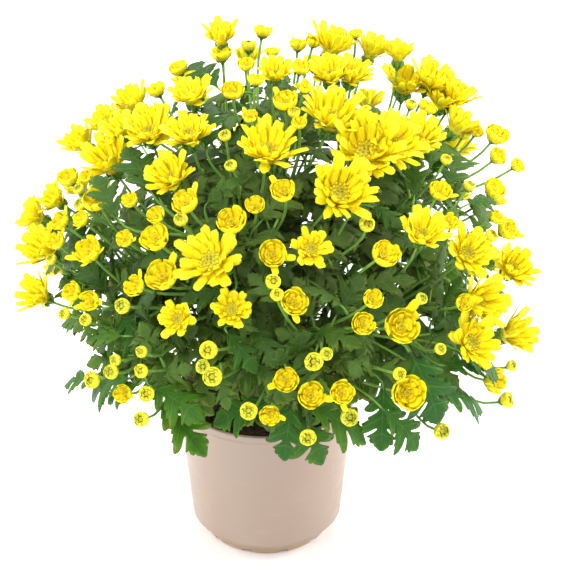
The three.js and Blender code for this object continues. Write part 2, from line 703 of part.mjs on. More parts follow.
const ROUNDING = 0.999;
const clearOf = (a, b, gap) => !boxesMeet(a, b) || a.minGap(b, gap) >= gap * ROUNDING;

// The biggest of a solid's bodies: loose scraps are dropped, and hollows sealed by the joining are filled.
function largest(solid) {
  return solid.decompose().reduce((best, next) => (next.volume() > best.volume() ? next : best));
}

// Heads that touch are one bunch.
function bunch(heads) {
  const solids = heads.map(headSolid);
  const bunches = [];
  heads.forEach((head, k) => {
    let [own, rest] = [{ heads: [head], solid: solids[k] }, []];
    for (const other of bunches) {
      if (boxesMeet(own.solid, other.solid) && overlaps(own.solid, other.solid)) {
        own = { heads: [...other.heads, ...own.heads], solid: own.solid.add(other.solid) };
      } else rest.push(other);
    }
    bunches.splice(0, bunches.length, ...rest, own);
  });
  return bunches;
}

const nearestLeader = (leaders, point) => {
  const out = towards(DOME_CENTRE, point);
  return leaders.reduce((best, next) => (next.aim.dot(out) > best.aim.dot(out) ? next : best));
};

// The stalk of a head with its solid, at the bend that crosses the fewest pieces. None may cross a block.
function growStalk(head, carriesHead, blocks, kin) {
  const crossings = (solid, others) =>
    others.filter((other) => boxesMeet(solid, other) && overlaps(solid, other)).length;
  let best = { cost: Infinity };
  for (let bend = 0; bend < STALK.bends && best.cost >= 1; bend++) {
    const stalk = stalkFor(head, bend);
    const solid = stalkSolid(stalk, carriesHead);
    const cost = STALK.bends * crossings(solid, blocks) + crossings(solid, kin) + bend / STALK.bends;
    if (cost < best.cost) best = { ...stalk, solid, cost };
  }
  return best;
}

// The blooms' stalks with their cups, then the stalks with the heads that are fused to them.
function growStalks(leaders, blooms, loose) {
  const stalks = [];
  const bloomHeads = blooms.flatMap((b) => b.heads);
  for (const head of [...bloomHeads, ...loose.flatMap((b) => b.heads)]) {
    const isKin = (other) => other.leader === head.leader;
    const blocks = [
      ...blooms,
      ...loose.filter((b) => !isKin(b.heads[0])),
      ...leaders.filter((leader) => leader !== head.leader),
      ...stalks.filter((stalk) => !isKin(stalk.head)),
    ];
    const kin = stalks.filter((stalk) => isKin(stalk.head));
    const solids = (pieces) => pieces.map(({ solid }) => solid);
    stalks.push(growStalk(head, !bloomHeads.includes(head), solids(blocks), solids(kin)));
  }
  return stalks;
}

// The first of a leaf's set-backs that is clear of everything but the stem point it roots in.
function growLeaf(planAt, leaders, leaves, fixed) {
  for (const deeper of LEAF.setBacks) {
    const plan = planAt(deeper);
    const [whole, blade] = [leafSolid(plan, true), leafSolid(plan, false)];
    const own = (piece) => piece === plan.leader || piece.leader === plan.leader;
    const isClear = (piece) => clearOf(own(piece) ? blade : whole, piece.solid, LEAF.clear);
    if ([...leaders, ...leaves, ...fixed].every(isClear)) return { leader: plan.leader, solid: whole };
  }
  return null;
}

const heads = makeHeads();
const leaders = makeLeaders();
const pot = makePot();
const soil = makeSoil(leaders);

heads.forEach((head) => {
  head.leader = nearestLeader(leaders, head.centre);
});
leaders.forEach((leader) => plantStalks(leader, heads));

// The biggest bunches are nodes of their own while there is room, if their cups stand clear under them.
const bunches = bunch(heads);
bunches.sort((a, b) => b.heads.length - a.heads.length || b.solid.volume() - a.solid.volume());
const cupsClear = ({ heads, solid }) =>
  heads.every((head) => !overlaps(stalkSolid(stalkFor(head, 0), false), solid));
const blooms = bunches.filter(cupsClear).slice(0, MOST_BLOOM_NODES);
const loose = bunches.filter((b) => !blooms.includes(b));

const stalks = growStalks(leaders, blooms, loose);
leaders.forEach((leader) => {
  const own = stalks.filter(({ head }) => head.leader === leader);
  leader.solid = Manifold.union([leader.solid, ...own.map(({ solid }) => solid)]);
});

const roots = leafRoots(leaders, stalks);
const leafPlans = [
  ...SHOW_LEAVES.map((shown) => (deeper) => shownLeaf(shown, roots, deeper)),
  ...Array.from({ length: LEAF.directions }, (_, i) => {
    const key = (i * LEAF.stride) % LEAF.directions;
    const out = evenDirection(key, LEAF.directions);
    return (deeper) => spreadLeaf(out, key, roots, deeper);
  }).filter((planAt) => planAt(0).tip.z > LEAF.lowest),
];
const fixed = [{ solid: pot }, { solid: soil }, ...blooms];
const leaves = [];
for (const planAt of leafPlans) {
  const leaf = leaves.length < LEAF.most && growLeaf(planAt, leaders, leaves, fixed);
  if (leaf) leaves.push(leaf);
}
leaders.forEach((leader) => {
  const own = leaves.filter((leaf) => leaf.leader === leader).map(({ solid }) => solid);
  leader.solid = largest(Manifold.union([leader.solid, ...own]));
});

// ---------------------------------------------------------------- the object

const MATERIALS = {
  pot: new THREE.MeshStandardMaterial({ color: 0xcbb5a6, roughness: 0.5 }),
  soil: new THREE.MeshStandardMaterial({ color: 0x2b2119, roughness: 0.95 }),
  leaf: new THREE.MeshStandardMaterial({ color: 0x3f6f2c, roughness: 0.6 }),
  petal: new THREE.MeshStandardMaterial({ color: 0xffe313, roughness: 0.55 }),
};

function node(name, solid, material) {
  const mesh = solid.getMesh();
  const geometry = new THREE.BufferGeometry();
  geometry.setAttribute("position", new THREE.BufferAttribute(mesh.vertProperties, 3));
  geometry.setIndex(new THREE.BufferAttribute(mesh.triVerts, 1));
  const made = new THREE.Mesh(geometry, material);
  made.name = name;
  return made;
}

const plant = new THREE.Group();
plant.add(node("pot", pot, MATERIALS.pot));
plant.add(node("soil", soil, MATERIALS.soil));
leaders.forEach((leader, k) => plant.add(node(`leafy_stem_${k + 1}`, leader.solid, MATERIALS.leaf)));
blooms.forEach((b, k) => plant.add(node(`bloom_${k + 1}`, b.solid, MATERIALS.petal)));

export default plant;
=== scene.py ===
"""Pot chrysanthemum, dressed: fine petals, leaves, stems, pot and soil in place of the plain solids.

Lengths are in millimetres until a mesh is made. The plant's plan repeats the rules of the solids, and their
corners say which of their choices were taken: how far each stalk bends aside, which leaves found room, and
which node holds each flower head.
"""
import math
from functools import lru_cache

import bpy
import numpy as np
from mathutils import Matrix, Vector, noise
from mathutils.kdtree import KDTree


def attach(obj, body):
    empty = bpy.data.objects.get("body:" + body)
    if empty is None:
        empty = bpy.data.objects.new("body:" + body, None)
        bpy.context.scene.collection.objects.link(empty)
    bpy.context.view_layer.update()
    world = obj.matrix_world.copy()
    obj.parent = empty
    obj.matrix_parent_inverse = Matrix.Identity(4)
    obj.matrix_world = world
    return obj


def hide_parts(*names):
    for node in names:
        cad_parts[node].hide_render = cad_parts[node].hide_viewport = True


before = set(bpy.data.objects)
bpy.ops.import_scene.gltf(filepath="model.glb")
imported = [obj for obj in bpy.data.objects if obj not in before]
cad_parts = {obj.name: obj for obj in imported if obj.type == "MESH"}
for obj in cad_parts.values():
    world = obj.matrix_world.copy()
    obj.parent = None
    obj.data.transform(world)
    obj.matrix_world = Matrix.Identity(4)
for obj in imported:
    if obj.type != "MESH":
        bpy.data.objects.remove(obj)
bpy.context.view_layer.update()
METRES = 0.001
FULL_TURN = 2 * math.pi
GOLDEN_ANGLE = math.pi * (3 - math.sqrt(5))
UP = np.array([0.0, 0.0, 1.0])

# ---------------------------------------------------------------- the plan's driving dimensions

POT = {
    "height": 120, "rim_radius": 70, "rim_band": 6, "band_step": 0.9, "wall_foot_radius": 59.7, "ledge": 1.3,
    "heel_height": 14, "foot_radius": 50, "foot_band": 5, "edge": 1.2, "wall": 1.8, "floor": 3, "sides": 144,
}
DRAIN = {"count": 11, "width": 7, "height": 2.2, "depth": 9, "first_degrees": -17}  # the foot's notches
SOIL = {"top": 107, "crown": 3, "shoulder": 14, "gap": 0.6, "sides": 96, "rings": 26}

# The flower heads stand on a ball, the dome. Those of its show side are listed as a square view shows them.
DOME_CENTRE = np.array([8.0, 0.0, 200.0])
DOME_RADIUS = 188
VIEW = {"size": 573, "units_per_mm": 1.32, "distance": 1200, "elevation": 27, "across": 16, "height": 211}

# Leafy stems: how many, how high they aim on the dome in degrees, and the first one's heading.
LEADERS = [(1, 84, -90), (3, 47, -108), (6, 10, -85)]
# One rises from the soil for its climb, leaning out by splay, and ends in a straight run to its reach,
# which is a share of the dome's radius. The more upright it is, the nearer the middle it stands.
LEADER = {
    "soil_radius": 30, "upright_share": 0.25, "depth": 12, "climb": 45, "splay": 0.25, "run": 55,
    "reach": 0.56, "steps": 4, "foot": 3.0, "head": 1.7,
}
# Stalks leave the upper part of a leader, the fork. Onward and inward are how far one follows its leader
# and its head's axis, as shares of its span. Knee is where its middle point stands, and bend how far the
# first of its bends turns that aside.
STALK = {
    "radius": 1.15, "fork": 0.5, "onward": 0.22, "inward": 0.38, "knee": 0.45, "bend": 4.5, "bends": 24,
}
ONWARD_STEP = 0.05  # the share of a leader over which its direction is taken
# The half width, arch and fold are shares of a leaf's length, and the reaches and set-backs of the dome's
# radius. A leaf took the first set-back at which it had room.
LEAF = {
    "length": 50, "length_range": 18, "half_width": 0.37, "arch": 0.1, "fold": 0.1, "reach": 0.74,
    "reach_range": 0.2, "base_reach": 0.93, "set_backs": [0, 0.03, -0.03, 0.06, 0.09, 0.13],
    "directions": 330, "petiole": 0.16, "face_up": 0.5, "face_any": 0.5,
}
# Where leaves can root along leaders and stalks, and what makes a place good: its span in blade lengths,
# how far outwards the leaf slants from it, and how little it climbs.
ROOT = {"first": 0.34, "step": 0.11, "on_stalk": [0.34, 0.66]}
GOOD = {"span": 1.2, "slant": 0.5, "slant_weight": 0.9, "climb_weight": 0.25}
# Heads of the far side: no nearer to another than room beyond a share, the spacing, of both radii.
FAR = {
    "directions": 130, "lowest": -0.16, "spacing": 0.6, "room": 4, "most": 28,
    # the share up to which a draw gives this kind, and its least and greatest diameter
    "kinds": [("open", 0.5, 26, 42), ("half", 0.82, 14, 22), ("bud", 1, 9, 12)],
}
# The green cup under a head, in shares of its radius: how wide its rim is, how far down that is, and where
# the cup starts at the stalk.
CUP = {
    "open": {"out": 0.3, "up": 0.26, "neck": 0.74},
    "half": {"out": 0.5, "up": 0.38, "neck": 0.95},
    "bud": {"out": 0.5, "up": 0.62, "neck": 1.25},
}
PETALS = {"open": 7, "half": 5, "bud": 5}  # in a head's outer whorl, and one less in a small open head
SMALL_BLOOM = 44  # the diameter from which an open head isn't small
HEAD_SIDE = np.array([0.9, 0.1, 0.4])  # where a head's first petal points, as near as its axis allows
# A head's axis leans from straight outwards to up, to any side and, on the show side, to the front. Its place
# varies in depth, and the share of that by which it may come nearer is named too.
HEAD_LEAN = {"up": 0.45, "any": 0.6, "front": 0.3, "depth": 12, "nearer": 0.4}
REACH = {"least": 0.9, "range": 0.26}  # of an open head's outer petals
CUP_REACH = {"least": 1, "range": 0.14, "let_go": 1.65, "tight": 0.84}  # and of a half-open one's
# How high an open head's petals rise: each head's own, more where it is seen from the side, and each petal's.
FLARE = {"least": 0.22, "range": 0.3, "side": 0.35, "any": 0.16}
SINK = {"open": 0.9, "half": 0.2, "bud": 0}  # how far a head is set back along its axis, in its flares
SOLID_TOP = {"open": 0.14, "half": 0.16, "bud": 0.8}  # where on its axis a head's solid has its middle corner
CORNER_MISS = {"head": 0.05, "leaf": 0.02}  # how near a corner has to be to count as the one looked for

# Flower heads of the show side: [across, down] in the view, and the diameter in mm.
OPEN_HEADS = [
    [220, 28, 29], [336, 34, 38], [331, 67, 36], [354, 69, 33], [376, 41, 30], [400, 45, 28],
    [407, 76, 37], [435, 72, 36], [445, 92, 33], [461, 88, 33], [465, 117, 33], [421, 131, 36],
    [190, 90, 33], [187, 129, 38], [147, 125, 40], [130, 95, 33], [119, 124, 34], [101, 116, 30],
    [103, 153, 40], [75, 137, 30], [269, 143, 46], [335, 108, 48], [368, 143, 52], [344, 187, 48],
    [396, 139, 46], [168, 171, 35], [209, 259, 46], [312, 247, 28], [425, 228, 34], [27, 213, 32],
    [36, 243, 36], [50, 196, 26], [31, 292, 31], [471, 250, 37], [518, 264, 35], [489, 300, 43],
    [524, 331, 37], [476, 341, 39], [176, 319, 26], [232, 309, 27], [276, 68, 27],
]
HALF_HEADS = [
    [221, 53, 16], [263, 30, 14], [298, 44, 13], [178, 67, 15], [246, 64, 12], [272, 51, 11], [256, 79, 12],
    [314, 41, 12], [356, 33, 9], [301, 67, 14], [233, 90, 16], [285, 101, 17], [250, 116, 10],
    [299, 123, 10], [305, 87, 11], [185, 202, 18], [283, 191, 16], [255, 205, 12.5], [231, 221, 19],
    [273, 254, 18], [385, 254, 19], [156, 215, 12], [155, 238, 19], [125, 239, 12], [130, 200, 11],
    [156, 89, 14], [68, 177, 16], [86, 176, 9], [60, 221, 14], [56, 241, 13], [96, 199, 20], [81, 219, 12],
    [72, 292, 14], [90, 301, 14], [135, 286, 14], [162, 276, 21], [88, 251, 19], [464, 133, 11],
    [477, 131, 11], [428, 107, 14], [497, 134, 18], [498, 156, 14], [518, 165, 12], [495, 189, 17],
    [440, 191, 15], [450, 222, 12], [496, 217, 11], [508, 229, 17], [495, 381, 18], [408, 393, 23],
    [402, 326, 24], [373, 299, 13.5], [363, 324, 15], [464, 303, 12], [294, 302, 18], [311, 395, 18],
    [342, 393, 16], [286, 380, 16], [270, 415, 13], [123, 394, 13],
]
BUDS = [
    [249, 46, 11], [294, 113, 8], [181, 220, 9], [367, 225, 10], [81, 205, 9], [123, 306, 10],
    [491, 236, 9], [506, 400, 11.5], [511, 366, 8], [441, 431, 11], [399, 374, 8.5], [314, 362, 11.5],
    [349, 417, 11.5], [308, 437, 10.5], [209, 350, 11.5], [213, 377, 12], [203, 367, 9], [93, 380, 11],
    [112, 372, 9.5], [142, 371, 9], [147, 394, 10], [142, 419, 10], [249, 411, 11], [273, 282, 9.5],
    [277, 295, 8], [231, 166, 8], [225, 136, 8], [440, 349, 7.5], [326, 354, 8], [421, 299, 7.5],
    [116, 360, 7.5], [86, 320, 8], [65, 314, 8], [142, 352, 7.5], [52, 260, 7.5], [79, 190, 7.5],
    [446, 160, 7.5], [469, 186, 8], [411, 105, 8],
]
# Leaves of the show side: tip [across, down], base [across, down], and their share of the dome's radius.
SHOW_LEAVES = [
    [207, 456, 158, 402, 0.9], [205, 424, 150, 386, 0.97], [284, 463, 292, 402, 0.93],
    [322, 465, 296, 408, 0.88], [369, 443, 306, 404, 0.98], [381, 452, 384, 386, 0.93],
    [418, 450, 382, 408, 0.97], [441, 425, 410, 352, 0.98], [487, 408, 438, 392, 1.02],
    [213, 426, 268, 400, 0.82], [62, 384, 100, 378, 0.98], [86, 397, 132, 378, 0.97],
    [60, 325, 88, 318, 1], [152, 352, 120, 318, 0.88], [258, 372, 226, 332, 0.88],
    [396, 396, 352, 352, 0.8], [452, 395, 408, 362, 0.93], [500, 378, 462, 352, 1.02],
    [180, 300, 232, 292, 0.85], [488, 366, 444, 366, 0.98], [474, 322, 430, 334, 0.86],
    [462, 276, 440, 306, 0.9], [404, 228, 372, 206, 0.93], [498, 200, 468, 204, 1.03],
    [418, 156, 414, 198, 0.92], [126, 146, 152, 194, 0.98], [95, 174, 118, 220, 1],
    [140, 158, 160, 200, 0.93], [212, 100, 206, 150, 0.97], [190, 64, 218, 88, 0.97],
    [238, 178, 206, 204, 0.88], [84, 340, 124, 336, 0.97], [110, 330, 146, 322, 0.8],
    [70, 300, 104, 308, 0.95], [104, 402, 140, 384, 0.95], [462, 150, 448, 188, 0.97],
    [438, 130, 430, 168, 0.93], [455, 398, 412, 380, 0.97], [470, 355, 430, 352, 0.92],
    [478, 340, 448, 312, 0.97], [96, 352, 128, 330, 0.9], [300, 225, 330, 262, 0.8],
]


# ---------------------------------------------------------------- small helpers


def vec(x, y, z):
    return np.array([x, y, z], float)


def unit(v):
    return v / np.linalg.norm(v)


def towards(start, end):
    return unit(end - start)


def mixed(a, b, share):
    return a + (b - a) * share


def vary(key, kind):
    """A repeatable number from 0 to 1 for the key. Kind only tells one draw for a key from another."""
    wave = math.sin(key * 12.9898 + kind * 78.233) * 4375.85453
    return wave - math.floor(wave)


def between(key, kind, least, most):
    return least + (most - least) * vary(key, kind)


def drawn(key, kind, count, least=0.0, most=1.0):
    """One repeatable number for each of count things."""
    return np.array([between(key, kind + k, least, most) for k in range(count)])


def even_direction(i, count):
    """The i-th of count directions spread evenly over a ball."""
    z = 1 - (2 * i + 1) / count
    turn = i * GOLDEN_ANGLE
    flat = math.sqrt(1 - z * z)
    return vec(flat * math.cos(turn), flat * math.sin(turn), z)


def square_to(axis, wanted):
    """A direction square to the axis, as near as can be to the wanted one."""
    side = wanted - wanted.dot(axis) * axis
    if np.linalg.norm(side) < 1e-3:
        return square_to(axis, vec(1, 0.3, 0.2))
    return unit(side)


def spokes(side, across, count, start=0.0, squash=1.0):
    """Directions evenly round, from side towards across. Start is in spokes. Squash shortens along side."""
    angles = FULL_TURN * (np.arange(count) + start) / count
    return np.cos(angles)[:, None] * side * squash + np.sin(angles)[:, None] * across


def bezier(points, t):
    """The point at t of a cubic curve. With an array of t, one point for each."""
    a, b, c, d = (np.asarray(p, float) for p in points)
    t = np.asarray(t, float)[..., None]
    return (1 - t) ** 3 * a + 3 * (1 - t) ** 2 * t * b + 3 * (1 - t) * t * t * c + t**3 * d


def along_path(path, share):
    """The point a share of the way along a path of equal steps."""
    at = min(max(share, 0), 1) * (len(path) - 1)
    step = min(int(at), len(path) - 2)
    return mixed(path[step], path[step + 1], at - step)


# ---------------------------------------------------------------- where things stand, as in the solids

RISE = math.radians(VIEW["elevation"])
AIM = vec(VIEW["across"], 0, VIEW["height"])
SIGHT = vec(0, math.cos(RISE), -math.sin(RISE))
VIEW_UP = vec(0, math.sin(RISE), math.cos(RISE))
EYE = AIM - VIEW["distance"] * SIGHT


def dome_point(across, down, reach=1):
    """The point of the dome that the view shows at [across, down]. Reach makes the dome smaller or larger."""
    middle = VIEW["size"] / 2
    on_plane = AIM + VIEW_UP * (middle - down) / VIEW["units_per_mm"]
    on_plane[0] += (across - middle) / VIEW["units_per_mm"]
    ray = towards(EYE, on_plane)
    to_centre = DOME_CENTRE - EYE
    along = to_centre.dot(ray)
    miss2 = to_centre.dot(to_centre) - along * along
    radius = DOME_RADIUS * reach
    return EYE + ray * (along - math.sqrt(max(0, radius * radius - miss2)))


class SolidPoints:
    """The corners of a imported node, to look up which of its choices a node took."""

    def __init__(self, node):
        points = [1 / METRES * v.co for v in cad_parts[node].data.vertices]
        self.tree = KDTree(len(points))
        for i, point in enumerate(points):
            self.tree.insert(point, i)
        self.tree.balance()

    def miss(self, point):
        """How far the nearest corner is."""
        return self.tree.find(Vector(point))[2]


class Head:
    """A flower head: its centre, its axis out of its face, and how far each outer petal reaches and rises."""

    def __init__(self, kind, spot, diameter, key, front):
        self.kind, self.key, self.radius = kind, key, diameter / 2
        self.centre = spot + towards(EYE, spot) * (vary(key, 4) - HEAD_LEAN["nearer"]) * HEAD_LEAN["depth"]
        lean = vec(vary(key, 1) - 0.5, vary(key, 2) - 0.5, vary(key, 3) - 0.5) * HEAD_LEAN["any"]
        out, to_eye = towards(DOME_CENTRE, self.centre), towards(self.centre, EYE)
        sideways = 1 - max(0, out.dot(to_eye))
        self.flare = FLARE["least"] + FLARE["range"] * vary(key, 8) + FLARE["side"] * sideways
        self.axis = unit(out + to_eye * front + UP * HEAD_LEAN["up"] + lean)
        self.centre = self.centre - self.axis * SINK[kind] * self.flare * self.radius
        self.side = square_to(self.axis, HEAD_SIDE)
        self.across = np.cross(self.axis, self.side)
        self.small = kind == "open" and diameter < SMALL_BLOOM
        count = PETALS[kind] - (1 if self.small else 0)
        self.reaches = [self.reach(k) for k in range(count)]

    def reach(self, k):
        """How far an outer petal reaches, as a share of the radius. In a half-open head some have let go."""
        if self.kind == "open":
            return REACH["least"] + REACH["range"] * vary(self.key, 10 + k)
        if self.kind == "bud":
            return 1
        if vary(self.key, 10 + k) > CUP_REACH["tight"]:
            return CUP_REACH["let_go"]
        return CUP_REACH["least"] + CUP_REACH["range"] * vary(self.key, 30 + k)

    def rise(self, k):
        """How high an open head's outer petal rises, as a share of the radius."""
        return self.flare + FLARE["any"] * vary(self.key, 50 + k)

    def point(self, turn, out, up):
        """A point a turn round the axis. Out and up are shares of the radius, and all three may be arrays."""
        angle = FULL_TURN * np.asarray(turn, float)[..., None]
        flat = np.cos(angle) * self.side + np.sin(angle) * self.across
        out, up = np.asarray(out, float)[..., None], np.asarray(up, float)[..., None]
        return self.centre + self.radius * (out * flat + up * self.axis)


def make_heads():
    heads = []
    for kind, listed in (("open", OPEN_HEADS), ("half", HALF_HEADS), ("bud", BUDS)):
        for across, down, diameter in listed:
            heads.append(Head(kind, dome_point(across, down), diameter, len(heads), HEAD_LEAN["front"]))
    return heads + far_side_heads(heads)


def has_room(point, reach, heads):
    """Whether a head of that radius would keep its distance to the others."""
    spans = [np.linalg.norm(head.centre - point) - FAR["spacing"] * (reach + head.radius) for head in heads]
    return min(spans) > FAR["room"]


def far_side_heads(shown):
    """Heads of the far side, spread evenly where the show side's list doesn't reach."""
    far = []
    for i in range(FAR["directions"]):
        direction = even_direction(i, FAR["directions"])
        point = DOME_CENTRE + direction * DOME_RADIUS
        seen = direction.dot(towards(point, EYE)) > 0
        if direction[2] < FAR["lowest"] or seen or len(far) == FAR["most"]:
            continue
        key = len(shown) + i
        kind, _, least, greatest = next(entry for entry in FAR["kinds"] if vary(key, 5) < entry[1])
        diameter = between(key, 6, least, greatest)
        if has_room(point, diameter / 2, shown + far):
            far.append(Head(kind, point, diameter, key, 0))
    return far


class Leader:
    """A leafy stem: where it aims, its path from the soil up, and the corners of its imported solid."""

    def __init__(self, number, rise, turn):
        flat = math.cos(rise)
        heading = vec(math.cos(turn), math.sin(turn), 0)
        self.number, self.node = number, f"leafy_stem_{number}"
        self.aim = flat * heading + math.sin(rise) * UP
        foot = heading * LEADER["soil_radius"] * mixed(LEADER["upright_share"], 1, flat)
        foot[2] = SOIL["top"] - LEADER["depth"]
        end = DOME_CENTRE + self.aim * DOME_RADIUS * LEADER["reach"]
        lean = self.aim * LEADER["splay"] * flat
        climbed = foot + LEADER["climb"] * unit(vec(lean[0], lean[1], 1))
        curve = [foot, climbed, end - LEADER["run"] * self.aim, end]
        self.path = bezier(curve, np.linspace(0, 1, LEADER["steps"] + 1))
        self.solid = SolidPoints(self.node)


def make_leaders():
    leaders = []
    for count, rise, heading in LEADERS:
        for k in range(count):
            turn = math.radians(heading + 360 * k / count)
            leaders.append(Leader(len(leaders) + 1, math.radians(rise), turn))
    return leaders


class Stalk:
    """The stalk of a head in three points. Bend turns its middle aside in a widening spiral."""

    def __init__(self, head, bend):
        self.head = head
        path = head.leader.path
        root = along_path(path, head.share)
        onward = towards(along_path(path, head.share - ONWARD_STEP), root)
        neck = head.centre - head.axis * CUP[head.kind]["neck"] * head.radius
        span = np.linalg.norm(neck - root)
        leaving, arriving = root + STALK["onward"] * span * onward, neck - STALK["inward"] * span * head.axis
        middle = bezier([root, leaving, arriving, neck], STALK["knee"])
        side = square_to(towards(root, neck), UP)
        across = np.cross(towards(root, neck), side)
        turn = GOLDEN_ANGLE * bend
        aside = side * math.cos(turn) + across * math.sin(turn)
        self.path = np.array([root, middle + aside * STALK["bend"] * math.sqrt(bend), neck])

    def miss(self):
        """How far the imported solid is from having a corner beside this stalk's middle."""
        along = towards(self.path[0], self.path[2])
        side = square_to(along, square_to(self.head.axis, self.head.side))
        return self.head.leader.solid.miss(self.path[1] + STALK["radius"] * side)


def plant_heads(leaders, heads):
    """Gives each head the leader that aims nearest to it. Further off it leaves its leader lower down."""
    for head in heads:
        outward = towards(DOME_CENTRE, head.centre)
        head.leader = max(leaders, key=lambda leader: leader.aim.dot(outward))
    for leader in leaders:
        own = [head for head in heads if head.leader is leader]
        own.sort(key=lambda head: -leader.aim.dot(towards(DOME_CENTRE, head.centre)))
        for k, head in enumerate(own):
            head.share = 1 - STALK["fork"] * k / len(own)


def find_stalk(head):
    """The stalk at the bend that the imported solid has."""
    return min((Stalk(head, bend) for bend in range(STALK["bends"])), key=Stalk.miss)


def leaf_roots(leaders, stalks):
    """Points of the leafy stems where a leaf can root, and each one's leader."""
    points, owners = [], []
    for leader in leaders:
        share = ROOT["first"]
        while share < 1:
            points.append(along_path(leader.path, share))
            owners.append(leader)
            share += ROOT["step"]
    for stalk in stalks:
        points += [along_path(stalk.path, share) for share in ROOT["on_stalk"]]
        owners += [stalk.head.leader] * len(ROOT["on_stalk"])
    return np.array(points), owners


class LeafPlan:
    """Where a leaf stands: the stem point it roots in, its blade's base and tip, and where its face looks."""

    def __init__(self, root, leader, base, tip, face, key):
        self.root, self.leader, self.base, self.tip, self.face, self.key = root, leader, base, tip, face, key


def shown_leaf(entry, key, roots, owners, deeper):
    """A leaf of the list. It roots at the nearest point that lies behind its base."""
    tip_across, tip_down, base_across, base_down, reach = entry
    tip = dome_point(tip_across, tip_down, reach - deeper)
    base = dome_point(base_across, base_down, (reach - deeper) * LEAF["base_reach"])
    arms = base - roots
    behind = arms @ (tip - base) > 0
    best = int(np.argmin(np.where(behind, np.linalg.norm(arms, axis=1), np.inf)))
    return LeafPlan(roots[best], owners[best], base, tip, towards(base, EYE) + UP, key)


def spread_leaf(out, key, roots, owners, deeper):
    """A leaf of the rest of the dome. It roots where its way there has the best length and slant."""
    reach = LEAF["reach"] + LEAF["reach_range"] * vary(key, 21) - deeper
    tip = DOME_CENTRE + out * DOME_RADIUS * reach
    wanted = LEAF["length"] + LEAF["length_range"] * vary(key, 22)
    arms = tip - roots
    spans = np.linalg.norm(arms, axis=1)
    off_span, off_slant = np.abs(spans / wanted - GOOD["span"]), np.abs(arms @ out / spans - GOOD["slant"])
    climb = np.maximum(0, arms[:, 2] / wanted)
    cost = off_span + GOOD["slant_weight"] * off_slant + GOOD["climb_weight"] * climb
    best = int(np.argmin(cost))
    base = mixed(roots[best], tip, max(LEAF["petiole"], 1 - wanted / spans[best]))
    face = out + LEAF["face_up"] * UP + LEAF["face_any"] * vec(vary(key, 23) - 0.5, vary(key, 24) - 0.5, 0)
    return LeafPlan(roots[best], owners[best], base, tip, face, key)


def find_leaves(leaders, stalks):
    """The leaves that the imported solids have, each at the set-back that it took."""
    places = leaf_roots(leaders, stalks)
    wanted = [(shown_leaf, entry, key) for key, entry in enumerate(SHOW_LEAVES)]
    wanted += [(spread_leaf, even_direction(i, LEAF["directions"]), i) for i in range(LEAF["directions"])]
    leaves = []
    for planned, what, key in wanted:
        tries = [planned(what, key, *places, deeper) for deeper in LEAF["set_backs"]]
        leaves += [plan for plan in tries if plan.leader.solid.miss(plan.tip) < CORNER_MISS["leaf"]][:1]
    return leaves


# ---------------------------------------------------------------- meshes from points

INSIDE = (slice(1, -1), slice(1, -1))  # of a grid, without its border


@lru_cache(maxsize=None)
def shell_faces(rows, columns):
    """Faces of a thin closed blade: an upper grid of points, and under its inner points a lower one."""
    upper = np.arange(rows * columns).reshape(rows, columns)
    lower = upper.copy()
    inner = (rows - 2) * (columns - 2)
    lower[INSIDE] = rows * columns + np.arange(inner).reshape(rows - 2, columns - 2)
    tops, bottoms = (np.stack([g[:-1, :-1], g[:-1, 1:], g[1:, 1:], g[1:, :-1]], -1) for g in (upper, lower))
    return np.vstack([tops.reshape(-1, 4), bottoms.reshape(-1, 4)[:, ::-1]])


@lru_cache(maxsize=None)
def tube_faces(rows, sides):
    """Faces of a tube of rings with a point at either end, which come after the rings."""
    ring = np.arange(rows * sides).reshape(rows, sides)
    turned = np.roll(ring, -1, axis=1)
    quads = np.stack([ring[:-1], turned[:-1], turned[1:], ring[1:]], -1).reshape(-1, 4)
    first, last = rows * sides, rows * sides + 1
    caps = [(turned[0, s], ring[0, s], first, first) for s in range(sides)]
    caps += [(ring[-1, s], turned[-1, s], last, last) for s in range(sides)]
    return np.vstack([quads, caps])


class Skin:
    """What becomes one mesh: its points, its faces and the numbers that its materials read at each point."""

    def __init__(self, *marks):
        self.points, self.faces, self.count = [], [], 0
        self.marks = {name: [] for name in marks}

    def add(self, points, faces, **marks):
        points = np.asarray(points, float).reshape(-1, 3)
        self.points.append(points)
        self.faces.append(np.asarray(faces) + self.count)
        for name, values in self.marks.items():
            values.append(np.broadcast_to(marks.get(name, 0.0), len(points)).astype(np.float32))
        self.count += len(points)

    def object(self, name):
        """The mesh as an object of the scene."""
        mesh = bpy.data.meshes.new(name)
        faces = [f[:3] if f[2] == f[3] else f for f in np.vstack(self.faces).tolist()]
        mesh.from_pydata(np.vstack(self.points) * METRES, [], faces)
        for mark, values in self.marks.items():
            layer = mesh.attributes.new(mark, "FLOAT", "POINT")
            layer.data.foreach_set("value", np.concatenate(values))
        mesh.shade_smooth()
        made = bpy.data.objects.new(name, mesh)
        bpy.context.scene.collection.objects.link(made)
        return made

    def piece(self, name, material, node):
        """The mesh as a piece of the object that stands for the node."""
        made = self.object(name)
        made.data.materials.append(material)
        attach(made, "root")
        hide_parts(node)
        return made


def blade(skin, upper, drop, **marks):
    """A thin closed blade: a grid of points, and its inner ones again, lower by drop. Marks may be grids."""
    lower = (upper - drop)[INSIDE]
    points = np.vstack([upper.reshape(-1, 3), lower.reshape(-1, 3)])
    for name, mark in marks.items():
        if np.ndim(mark) == 2:
            marks[name] = np.append(mark, mark[INSIDE])
    skin.add(points, shell_faces(*upper.shape[:2]), **marks)


